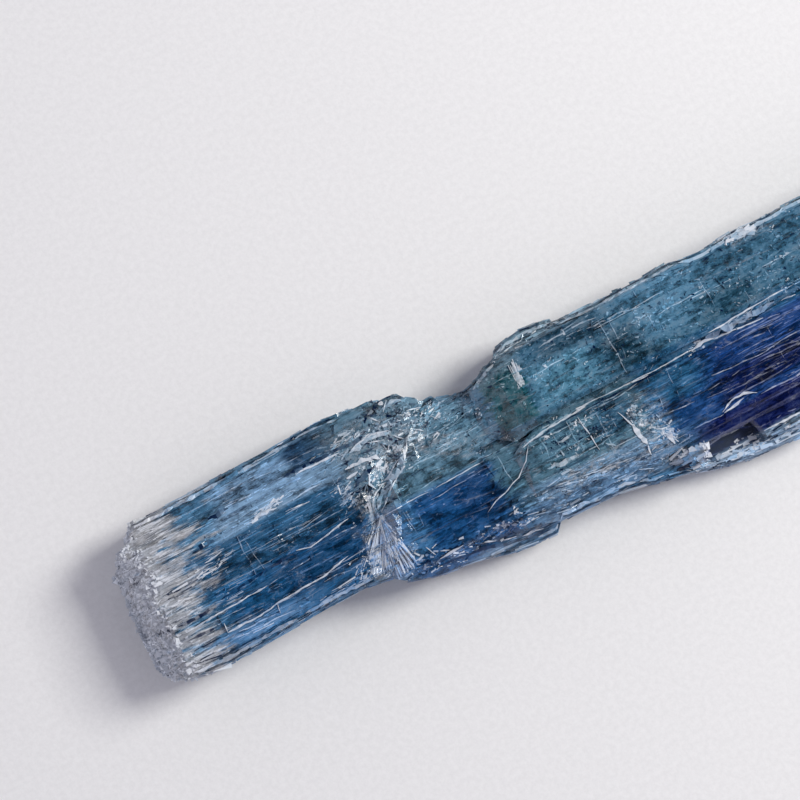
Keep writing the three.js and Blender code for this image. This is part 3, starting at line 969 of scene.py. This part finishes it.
def effect(name, result, **inputs):
    """Turns a function that adds nodes into a node group, built once and shared by the materials.

    The function then takes a tree's nodes and the group's inputs by name, and gives its result.
    """

    def build(make):
        tree = bpy.data.node_groups.new(name, "ShaderNodeTree")
        for label, default in inputs.items():
            kind = "NodeSocketFloat" if isinstance(default, float) else "NodeSocketVector"
            label = label.replace("_", " ")
            tree.interface.new_socket(label, in_out="INPUT", socket_type=kind).default_value = default
        kind = "NodeSocketVector" if result == "Place" else "NodeSocketFloat"
        tree.interface.new_socket(result, in_out="OUTPUT", socket_type=kind)
        nodes = Nodes(tree)
        given = tree.nodes.new("NodeGroupInput").outputs[: len(inputs)]
        nodes.feed(tree.nodes.new("NodeGroupOutput").inputs[0], make(nodes, *given))
        return tree

    def shared(make):
        def use(nodes, **values):
            tree = bpy.data.node_groups.get(name) or build(make)
            values = {label.replace("_", " "): value for label, value in values.items()}
            return nodes.add("ShaderNodeGroup", values, node_tree=tree).outputs[0]

        return use

    return shared


@effect("Bench place", "Place")
def bench_place(nodes):
    """Where a point of the surface is on the bench, in millimetres."""
    here = nodes.add("ShaderNodeTexCoord").outputs["Object"]
    moved = nodes.vector("SUBTRACT", here, tuple(LOW))
    return nodes.vector("MULTIPLY", moved, (1 / MM,) * 3)


@effect("Ragged grain", "Place", Place=(0, 0, 0), Reach=1.5, Wander=0.25)
def ragged_grain(nodes, place, reach, wander):
    """Shifts places along the blades by uneven fibres, so that what is drawn there ends raggedly."""
    shift_u = nodes.minus(nodes.noise(place, (0.10, 2.3, 0.5), 4, 0.65), 0.5)
    shift_v = nodes.minus(nodes.noise(place, (0.30, 0.55, 0.3), 3, 0.6), 0.5)
    shift_u = nodes.times(shift_u, nodes.times(reach, 2))
    shift_v = nodes.times(shift_v, nodes.times(wander, 2))
    return nodes.vector("ADD", place, nodes.joined(shift_u, shift_v))


@effect("Zone", "Mask", Place=(0, 0, 0), Centre=(0, 0, 0), Half_Size=(1, 1, 1), Turn=0.0, Softness=0.3)
def zone(nodes, place, centre, half_size, turn, softness):
    """A soft-edged, turned rectangle on the bench, seen from above."""
    moved = nodes.vector("SUBTRACT", place, centre)
    turned = nodes.add("ShaderNodeVectorRotate", {"Vector": moved, "Angle": turn},
                       rotation_type="Z_AXIS").outputs[0]
    shares = nodes.parts(nodes.vector("ABSOLUTE", nodes.vector("DIVIDE", turned, half_size)))
    outer = nodes.maths("ADD", 1, softness)
    return nodes.ramp(nodes.highest(shares["X"], shares["Y"]), outer, nodes.minus(1, softness))


@effect("Streaks", "Mask", Place=(0, 0, 0), Density=(0.3, 4, 1), Level=0.6, Sharpness=0.06)
def streaks(nodes, place, density, level, sharpness):
    """Fine streaks where a stretched pattern rises above a level."""
    value = nodes.noise(place, density, 3, 0.6)
    return nodes.ramp(value, level, nodes.maths("ADD", level, sharpness))


@effect("Cracks", "Mask", Place=(0, 0, 0), Density=(1, 0.2, 0.3), Width=0.01, Detail=1.0)
def cracks(nodes, place, density, width, detail):
    """Thin lines where a slow pattern passes its middle value: cracks and healed fractures."""
    off = nodes.maths("ABSOLUTE", nodes.minus(nodes.noise(place, density, detail, 0.5), 0.5))
    return nodes.ramp(off, width, 0.0)


@effect("Splinter tone", "Tone", Place=(0, 0, 0), Density=(0.15, 1.2, 0.5))
def splinter_tone(nodes, place, density):
    """A random tone for each long cleavage splinter."""
    colour = nodes.cells(nodes.vector("MULTIPLY", place, density), "Color", feature="F1")
    return nodes.add("ShaderNodeSeparateColor", {0: colour}).outputs[0]


@effect("Cleavage lines", "Mask", Place=(0, 0, 0), Density=(0.1, 1.0, 1.0), Width=0.04)
def cleavage_lines(nodes, place, density, width):
    """Fine straight lines around long splinters, broken here and there."""
    parts = nodes.parts(place)
    skewed = nodes.maths("ADD", parts["Y"], nodes.times(parts["Z"], 0.7))
    flat = nodes.vector("MULTIPLY", nodes.joined(parts["X"], skewed), density)
    edges = nodes.cells(flat, "Distance", feature="DISTANCE_TO_EDGE", voronoi_dimensions="2D")
    broken = nodes.ramp(nodes.noise(flat, (3.0, 1.5, 0), 2, 0.5), 0.45, 0.6)
    return nodes.times(nodes.ramp(edges, width, 0.0), broken)


# Where each colour of the crystal lies: its middle and half size on the bench, how far it is
# turned, how soft its edge is, how strongly it covers what is under it, and its colour.
ZONES = (
    # the pale-end blade
    ("end blade", (10, 11), (12, 7), 0, 0.2, 1.0, (80, 114, 142)),
    ("blue core", (12.8, 7.6), (7.2, 2.4), 0, 0.25, 0.95, (18, 76, 116)),
    ("core depth", (14.4, 8.4), (3.8, 1.6), 0, 0.35, 0.85, (0, 54, 90)),
    ("low lilac band", (8.0, 6.2), (3.4, 0.5), 0, 0.35, 0.85, (96, 128, 166)),
    ("dark teal band", (11.8, 11.2), (6.8, 1.4), 0, 0.25, 0.9, (30, 74, 106)),
    ("lilac band", (13.8, 13.6), (5.6, 1.0), 0, 0.2, 0.85, (134, 146, 168)),
    # painted reflection: a pale lilac patch that stands for the room's soft light mirrored in this face
    ("painted reflection patch", (12.4, 14.9), (3.2, 1.2), 0, 0.25, 0.85, (140, 156, 182)),
    ("dark upper patch", (17.6, 15.6), (2.8, 1.0), 0, 0.2, 0.9, (28, 56, 84)),
    ("upper rim of the end", (9, 17.2), (8, 0.7), 0, 0.5, 0.7, (118, 130, 146)),
    # past the kink
    ("middle blade", (24.5, 10), (6, 7), 0, 0.15, 1.0, (102, 128, 146)),
    ("middle blue", (22, 7.0), (3.4, 2.1), 0, 0.2, 0.9, (60, 104, 146)),
    ("crushed", (20.8, 13.9), (3.4, 2.4), 0, 0.4, 0.8, (78, 96, 112)),
    ("fan", (18.5, 6.2), (1.2, 2.0), 0, 0.5, 0.45, (128, 146, 184)),
    # the upper blade
    ("upper blade", (53, 12.6), (25, 3.9), 0, 0.04, 1.0, (66, 104, 128)),
    ("green grey end", (30.5, 11.6), (1.4, 2.6), 0, 0.12, 0.97, (4, 78, 86)),
    ("light teal", (34.6, 11.6), (2.3, 1.5), 0, 0.4, 0.85, (94, 136, 158)),
    ("teal shade", (36.2, 14.0), (2.6, 0.9), 0, 0.4, 0.85, (36, 68, 88)),
    ("dark teal", (39.7, 11.2), (1.8, 1.6), 0, 0.35, 0.9, (26, 62, 80)),
    ("blue teal", (43.6, 13.0), (2.8, 2.0), 0, 0.35, 0.85, (88, 126, 152)),
    ("teal shade past it", (47.2, 11.0), (2.2, 0.9), 0, 0.4, 0.8, (34, 74, 94)),
    ("far teal", (60, 12.4), (5, 2), 0, 0.4, 0.7, (52, 92, 116)),
    ("upper rim", (50, 15.6), (26, 0.8), 0, 0.35, 0.85, (122, 132, 142)),
    ("upper corner", (30.2, 15.0), (2.0, 1.2), 0, 0.4, 0.85, (104, 114, 124)),
    # the lower blade
    ("lower blade", (53, 6.2), (26, 3.7), 0, 0.05, 1.0, (36, 82, 114)),
    ("grey green", (33.0, 7.2), (5.6, 2.6), 0, 0.12, 0.95, (80, 104, 118)),
    ("middle deep blue", (24.2, 7.0), (2.9, 1.9), 0.02, 0.15, 0.9, (0, 64, 112)),
    ("darkest", (25.5, 7.0), (1.5, 1.7), 0.02, 0.25, 0.85, (0, 50, 92)),
    ("dark start", (36.3, 7.6), (1.5, 1.2), 0, 0.3, 0.8, (46, 78, 100)),
    ("lilac edge", (33.5, 4.4), (4.8, 1.1), 0.05, 0.3, 0.85, (124, 142, 168)),
    ("navy low start", (42.6, 5.0), (2.6, 1.4), 0, 0.4, 0.85, (20, 60, 112)),
    ("navy", (55.0, 6.2), (11.5, 2.6), 0, 0.13, 0.95, (12, 50, 104)),
    ("violet", (49.5, 5.6), (5.5, 0.9), 0, 0.25, 0.85, (0, 14, 68)),
    ("navy band", (49.6, 2.85), (8.8, 1.2), 0, 0.1, 1.0, (0, 18, 76)),
    ("far blue", (69, 6.5), (5, 2.4), 0, 0.4, 0.8, (48, 96, 140)),
    # colourless parts
    ("low plates", (29.5, 3.5), (10.5, 0.9), 0, 0.3, 0.9, (98, 118, 146)),
    ("low dark edge", (23.2, 4.3), (4.6, 1.1), -0.1, 0.3, 0.9, (22, 72, 118)),
    ("plates", (50, 0.45), (26, 1.25), 0, 0.2, 0.95, (142, 150, 170)),
    ("far tip", (78.5, 8), (3.2, 9), 0, 0.4, 0.8, (150, 164, 176)),
)

# Crushed and bruised places, in the same way.
BRUISES = (
    ((20.9, 13.7), (2.6, 2.0), 0.0, 0.5),
    ((23.2, 12.6), (4.6, 0.7), 0.55, 0.6),
    ((18.6, 9.8), (0.7, 2.0), -0.2, 0.6),
    ((17.9, 6.3), (1.1, 1.9), 0.15, 0.6),
    ((38.4, 5.4), (1.2, 2.3), 0.25, 0.6),
    ((33.2, 4.9), (2.6, 0.8), 0.0, 0.6),
    ((50.5, 14.6), (1.5, 0.6), 0.0, 0.6),
)

# Where the crystal is cloudy in blocks and not along its fibres, in the same way.
BLOCKY = (
    ((54, 13.2), (25.5, 4), 0.0, 0.06),
    ((24.8, 11.8), (4.4, 2.8), 0.0, 0.3),
)

FIRST_COLOUR = (74, 110, 142)  # under all the zones
HAZE = (150, 168, 178)
GAP = (44, 66, 88)
LOW_SIDE = (132, 150, 176)
# The dark slivers' deep blue, which also paints the shade of the dark strips and outline bands.
DARK_SLIVER_AND_PAINTED_SHADE = (2, 26, 60)
GLASSY_ROUGHNESS, FROST_ROUGHNESS = 0.14, 0.5
SPECULAR = 0.18


def table_zone(nodes, place, centre, half, turn, softness):
    """The mask of one row of a table of places."""
    return zone(nodes, Place=place, Centre=(*centre, 0), Half_Size=(*half, 1), Turn=float(turn),
                Softness=softness)


class Crystal:
    """The crystal's colour, built up step by step, and how frosted each step leaves it."""

    def __init__(self, nodes, look):
        self.nodes, self.look = nodes, look
        self.pale, self.frost = tuple(look.pale), tuple(look.frost)
        self.place = bench_place(nodes)
        self.ragged = ragged_grain(nodes, Place=self.place, Reach=1.4, Wander=0.3)
        self.frosted = []

    def colour_zones(self):
        """The blades' own colours, made lighter for what the crystal's depth swallows."""
        nodes = self.nodes
        colour = linear(*FIRST_COLOUR)
        for _, centre, half, turn, softness, strength, tint in ZONES:
            mask = table_zone(nodes, self.ragged, centre, half, turn, softness)
            colour = nodes.mix(nodes.times(mask, strength), colour, linear(*tint))
        self.colour = nodes.mix(1.0, colour, tuple(self.look.tint_gain), blend="MULTIPLY")

    def clouds(self):
        """Makes each splinter a little lighter or darker than the next one, and the crystal cloudy."""
        nodes, place = self.nodes, self.place
        wide = splinter_tone(nodes, Place=self.ragged, Density=(0.12, 0.9, 0.4))
        narrow = splinter_tone(nodes, Place=self.ragged, Density=(0.3, 2.6, 0.8))
        small = splinter_tone(nodes, Place=place, Density=(1.1, 3.6, 1.5))
        self.cloud = nodes.noise(place, (0.7, 1.1, 1.0), 5, 0.75)
        blocky = nodes.highest(*(table_zone(nodes, place, *where) for where in BLOCKY))
        self.fine = nodes.blend(blocky, nodes.noise(place, (2.2, 6.5, 4.0), 4, 0.8),
                                nodes.noise(place, (2.4, 2.8, 3.0), 4, 0.8))
        narrow = nodes.blend(blocky, narrow, nodes.noise(place, (1.1, 1.3, 1.0), 3, 0.6))
        tone = nodes.total((wide, 0.22), (narrow, 0.22), (small, 0.24), (self.cloud, 1.3), (self.fine, 0.9))
        colour = nodes.shaded(self.colour, nodes.ramp(tone, 1.02, 1.72, 0.16, 1.46))
        haze = nodes.times(nodes.ramp(tone, 1.3, 1.9, 0.0, 0.7), nodes.blend(blocky, 0.25, 0.85))
        self.colour = nodes.mix(haze, colour, linear(*HAZE))

    def pale_end(self):
        """Pale streaks that close up towards the tip, with dark gaps between them."""
        nodes, place = self.nodes, self.place
        parts = nodes.parts(self.ragged)
        along = nodes.minus(parts["X"], nodes.ramp(parts["Y"], 8.2, 12.2, -0.2, 1.3))
        to_end = nodes.ramp(along, 10.0, 0.2)
        level = nodes.minus(0.67, nodes.times(to_end, 0.52))
        pale = streaks(nodes, Place=place, Density=(0.55, 2.2, 1.0), Level=level, Sharpness=0.26)
        tint = nodes.shaded(self.pale, nodes.ramp(self.fine, 0.3, 0.7, 0.55, 1.1))
        colour = nodes.mix(nodes.times(pale, 0.85), self.colour, tint)
        gaps = streaks(nodes, Place=place, Density=(0.24, 5.5, 1.3), Level=0.56, Sharpness=0.05)
        gaps = nodes.times(gaps, nodes.times(to_end, nodes.ramp(along, 1.0, 3.5)))
        self.colour = nodes.mix(nodes.times(gaps, 0.7), colour, linear(*GAP))
        self.frosted.append(pale)

    def light_lines(self):
        """A few long fibres, cleavage lines and cracks across, dense where the crystal is cloudy."""
        nodes, place = self.nodes, self.place
        fibres = streaks(nodes, Place=place, Density=(0.12, 6.5, 1.6), Level=0.66, Sharpness=0.05)
        splits = cleavage_lines(nodes, Place=self.ragged, Density=(0.10, 0.9, 1.0), Width=0.035)
        chips = cleavage_lines(nodes, Place=place, Density=(0.8, 1.4, 1.0), Width=0.04)
        across = cracks(nodes, Place=self.ragged, Density=(0.9, 0.12, 0.3), Width=0.006, Detail=1.0)
        shares = ((fibres, 0.32), (splits, 0.35), (chips, 0.16), (across, 0.3))
        lines = nodes.highest(*(nodes.times(mask, share) for mask, share in shares))
        lines = nodes.times(lines, nodes.ramp(self.cloud, 0.42, 0.62, 0.25, 1.0))
        self.colour = nodes.mix(lines, self.colour, self.frost)
        self.frosted.append(lines)

    def bruises(self):
        """White grains in the crushed and bruised places."""
        nodes = self.nodes
        bruised = nodes.highest(*(table_zone(nodes, self.ragged, *where) for where in BRUISES))
        grains = nodes.noise(self.place, (2.4, 3.6, 2.6), 4, 0.75)
        white = nodes.times(bruised, nodes.ramp(grains, 0.40, 0.66))
        self.colour = nodes.mix(nodes.times(white, 0.42), self.colour, self.frost)
        self.frosted.append(white)

    def low_sides(self):
        """Low sides are thin and nearly colourless."""
        height = self.nodes.parts(self.place)["Z"]
        share = self.nodes.ramp(height, 3.4, 1.2, 0.0, 0.45)
        self.colour = self.nodes.mix(share, self.colour, linear(*LOW_SIDE))

    def slivers(self):
        """Broken slivers are frosted or dark by their tone; on the strips and outline bands the white is
        partly a painted glint and the dark is painted shade.
        """
        nodes = self.nodes
        tone = nodes.add("ShaderNodeAttribute", attribute_name="Tone").outputs["Fac"]
        bright = nodes.highest(tone, 0.0)
        dark = nodes.highest(nodes.times(tone, -1.0), 0.0)
        colour = nodes.mix(nodes.times(bright, 0.9), self.colour, self.frost)
        self.colour = nodes.mix(dark, colour, linear(*DARK_SLIVER_AND_PAINTED_SHADE))
        self.frosted.append(bright)


def kyanite_material(name, look, transmission, sealed):
    """The crystal's finish; a sealed one swallows light with depth, as the whole body does."""
    material = bpy.data.materials.new(name)
    material.use_nodes = True
    nodes = Nodes(material.node_tree)
    shader = material.node_tree.nodes["Principled BSDF"]
    output = material.node_tree.nodes["Material Output"]
    crystal = Crystal(nodes, look)
    crystal.colour_zones()
    crystal.clouds()
    crystal.pale_end()
    crystal.light_lines()
    crystal.bruises()
    crystal.low_sides()
    crystal.slivers()
    nodes.feed(shader.inputs["Base Color"], crystal.colour)
    frosted = nodes.highest(*crystal.frosted)
    nodes.feed(shader.inputs["Roughness"], nodes.ramp(frosted, 0.0, 1.0, GLASSY_ROUGHNESS, FROST_ROUGHNESS))
    ridges = nodes.noise(crystal.place, (0.25, 9.0, 4.0), 3, 0.6)
    grit = nodes.noise(crystal.place, (3.0, 6.0, 6.0), 3, 0.6)
    relief = nodes.maths("ADD", ridges, nodes.times(grit, 0.6))
    nodes.feed(shader.inputs["Normal"], nodes.bump(relief, 0.45))
    shader.inputs["Transmission Weight"].default_value = transmission
    shader.inputs["IOR"].default_value = look.ior
    shader.inputs["Specular IOR Level"].default_value = SPECULAR
    if sealed:
        depth = {"Color": tuple(look.absorption), "Density": look.density}
        nodes.feed(output.inputs["Volume"], nodes.add("ShaderNodeVolumeAbsorption", depth).outputs[0])
    return material


def paper_material(colour):
    """The floor's matt paper, with a faint tooth."""
    material = bpy.data.materials.new("pale_paper")
    material.use_nodes = True
    nodes = Nodes(material.node_tree)
    shader = material.node_tree.nodes["Principled BSDF"]
    tooth = nodes.noise(bench_place(nodes), (2.4, 2.4, 2.4), 3, 0.7)
    gain = nodes.ramp(tooth, 0.25, 0.75, 0.965, 1.035)
    nodes.feed(shader.inputs["Base Color"], nodes.shaded(tuple(colour), gain))
    shader.inputs["Roughness"].default_value = 0.95
    nodes.feed(shader.inputs["Normal"], nodes.bump(tooth, 0.25))
    return material


def glassy_finish(look):
    return kyanite_material("glassy_kyanite", look, look.transmission, True)


def frosted_finish(look):
    """The finish that all the slivers share."""
    found = bpy.data.materials.get("frosted_kyanite")
    return found or kyanite_material("frosted_kyanite", look, look.sliver_transmission, False)


# ------------------------------------------------------------------ studio


VIEW_CENTRE = (23.88, 15.53, 4.0)  # on the bench
KEY_AWAY, FILL_AWAY = (0.34, 0.0, 0.245), (-0.36, 0.06, 0.12)  # metres from what they light
KEY_COLOUR, FILL_COLOUR, GLOW_COLOUR = (1, 0.985, 0.94), (0.94, 0.93, 1), (0.94, 0.92, 1.07)
FILL_SIZE = 0.3  # metres
FLOOR_REACH = 1500  # millimetres from the middle


def area_light(name, target, away, size, power, colour):
    """A square soft box that shines on its target."""
    light = bpy.data.lights.new(name, "AREA")
    light.energy = power
    light.size = size
    light.color = colour
    lamp = bpy.data.objects.new(name, light)
    bpy.context.scene.collection.objects.link(lamp)
    lamp.location = target + Vector(away)
    lamp.rotation_euler = (target - lamp.location).to_track_quat("-Z", "Y").to_euler()


def studio(settings):
    """The floor, the glowing room, the camera and the two lamps."""
    scene = bpy.context.scene
    bm = bmesh.new()
    bmesh.ops.create_grid(bm, x_segments=1, y_segments=1, size=FLOOR_REACH)
    floor = bench_object("studio_floor", bm)
    floor.data.transform(Matrix.Scale(MM, 4))
    floor.data.materials.append(paper_material(settings.floor))

    # The walls glow and the ceiling is dark, so level faces stay deep in colour.
    world = bpy.data.worlds.new("studio")
    world.use_nodes = True
    nodes = Nodes(world.node_tree)
    up = nodes.add("ShaderNodeTexCoord").outputs["Generated"]
    rise = nodes.parts(up)["Z"]
    background = world.node_tree.nodes["Background"].inputs
    walls = nodes.ramp(rise, 0.1, 0.5, 1.4, 0.95)
    ceiling = nodes.ramp(rise, 0.74, 0.94, 1.0, 0.06)
    nodes.feed(background["Strength"], nodes.times(nodes.times(walls, ceiling), settings.glow))
    nodes.feed(background["Color"], GLOW_COLOUR)
    scene.world = world

    target = FROM_BENCH @ Vector(VIEW_CENTRE)
    around, up = settings.azimuth, settings.elevation
    away = Vector((math.sin(around) * math.cos(up), -math.cos(around) * math.cos(up), math.sin(up)))
    lens = bpy.data.cameras.new("camera")
    lens.lens = settings.lens
    lens.clip_start = 0.005
    camera = bpy.data.objects.new("camera", lens)
    scene.collection.objects.link(camera)
    camera.location = target + away * settings.view_width * lens.lens / lens.sensor_width
    camera.rotation_euler = (-away).to_track_quat("-Z", "Y").to_euler()
    scene.camera = camera
    area_light("key", target, KEY_AWAY, settings.key_size, settings.key_power, KEY_COLOUR)
    area_light("fill", target, FILL_AWAY, FILL_SIZE, settings.fill_power, FILL_COLOUR)
    scene.view_settings.view_transform = "Standard"


# ------------------------------------------------------------------ operators


def add_slivers(context, make):
    """Makes one piece of slivers around the finished body."""
    settings, look = context.scene.kyanite_blades, context.scene.kyanite_finish
    finished(make(settings, body_tops()), frosted_finish(look))
    return {"FINISHED"}


class KYANITE_OT_blades(bpy.types.Operator):
    """Builds the grown-together blades, split along their cleavage"""

    bl_idname = "kyanite.blades"
    bl_label = "Blades"
    bl_options = {"REGISTER", "UNDO"}

    def execute(self, context):
        body = cluster_body(context.scene.kyanite_blades)
        finished(body, glassy_finish(context.scene.kyanite_finish))
        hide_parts(CRYSTAL)
        return {"FINISHED"}


class KYANITE_OT_bruised_edges(bpy.types.Operator):
    """Adds the bright broken edges with their painted glints and shadow lines, the painted outline bands,
    and chips
    """

    bl_idname = "kyanite.bruised_edges"
    bl_label = "Bruised edges and painted light"
    bl_options = {"REGISTER", "UNDO"}

    def execute(self, context):
        return add_slivers(context, bruised_edges)


class KYANITE_OT_crushed_kink(bpy.types.Operator):
    """Adds the crushed crystal and the fan of fibres at the kink"""

    bl_idname = "kyanite.crushed_kink"
    bl_label = "Crushed kink"
    bl_options = {"REGISTER", "UNDO"}

    def execute(self, context):
        return add_slivers(context, crushed_kink)


class KYANITE_OT_pale_splinters(bpy.types.Operator):
    """Adds the splinters of the pale end"""

    bl_idname = "kyanite.pale_splinters"
    bl_label = "Pale splinters"
    bl_options = {"REGISTER", "UNDO"}

    def execute(self, context):
        return add_slivers(context, pale_splinters)


class KYANITE_OT_edge_flakes(bpy.types.Operator):
    """Adds thin flakes along the outer edges"""

    bl_idname = "kyanite.edge_flakes"
    bl_label = "Edge flakes"
    bl_options = {"REGISTER", "UNDO"}

    def execute(self, context):
        return add_slivers(context, edge_flakes)


class KYANITE_OT_cleavage_fibres(bpy.types.Operator):
    """Adds the fine fibres and specks all over the blades"""

    bl_idname = "kyanite.cleavage_fibres"
    bl_label = "Cleavage fibres"
    bl_options = {"REGISTER", "UNDO"}

    def execute(self, context):
        return add_slivers(context, cleavage_fibres)


class KYANITE_OT_sealed_cracks(bpy.types.Operator):
    """Seals healed cracks and veils inside the blades"""

    bl_idname = "kyanite.sealed_cracks"
    bl_label = "Sealed cracks"
    bl_options = {"REGISTER", "UNDO"}

    def execute(self, context):
        return add_slivers(context, sealed_cracks)


class KYANITE_OT_studio(bpy.types.Operator):
    """Sets up the floor, the light and the camera"""

    bl_idname = "kyanite.studio"
    bl_label = "Studio"
    bl_options = {"REGISTER", "UNDO"}

    def execute(self, context):
        studio(context.scene.kyanite_studio)
        return {"FINISHED"}


OPERATORS = (
    KYANITE_OT_blades,
    KYANITE_OT_bruised_edges,
    KYANITE_OT_crushed_kink,
    KYANITE_OT_pale_splinters,
    KYANITE_OT_edge_flakes,
    KYANITE_OT_cleavage_fibres,
    KYANITE_OT_sealed_cracks,
    KYANITE_OT_studio,
)


class KYANITE_PT_panel(bpy.types.Panel):
    """Lists the cluster's pieces and the studio"""

    bl_idname = "KYANITE_PT_panel"
    bl_label = "Kyanite Blade Cluster"
    bl_space_type = "VIEW_3D"
    bl_region_type = "UI"
    bl_category = "Kyanite"

    def draw(self, context):
        for operator in OPERATORS:
            self.layout.operator(operator.bl_idname)


SETTINGS = {
    "kyanite_blades": BladeSettings,
    "kyanite_finish": FinishSettings,
    "kyanite_studio": StudioSettings,
}


def register():
    for settings in SETTINGS.values():
        bpy.utils.register_class(settings)
    for name, settings in SETTINGS.items():
        setattr(bpy.types.Scene, name, PointerProperty(type=settings))
    for known in (*OPERATORS, KYANITE_PT_panel):
        bpy.utils.register_class(known)


def unregister():
    for known in (KYANITE_PT_panel, *reversed(OPERATORS)):
        bpy.utils.unregister_class(known)
    for name, settings in SETTINGS.items():
        delattr(bpy.types.Scene, name)
        bpy.utils.unregister_class(settings)


def main():
    register()
    for operator in OPERATORS:
        group, name = operator.bl_idname.split(".")
        getattr(getattr(bpy.ops, group), name)()


if __name__ == "__main__":
    main()
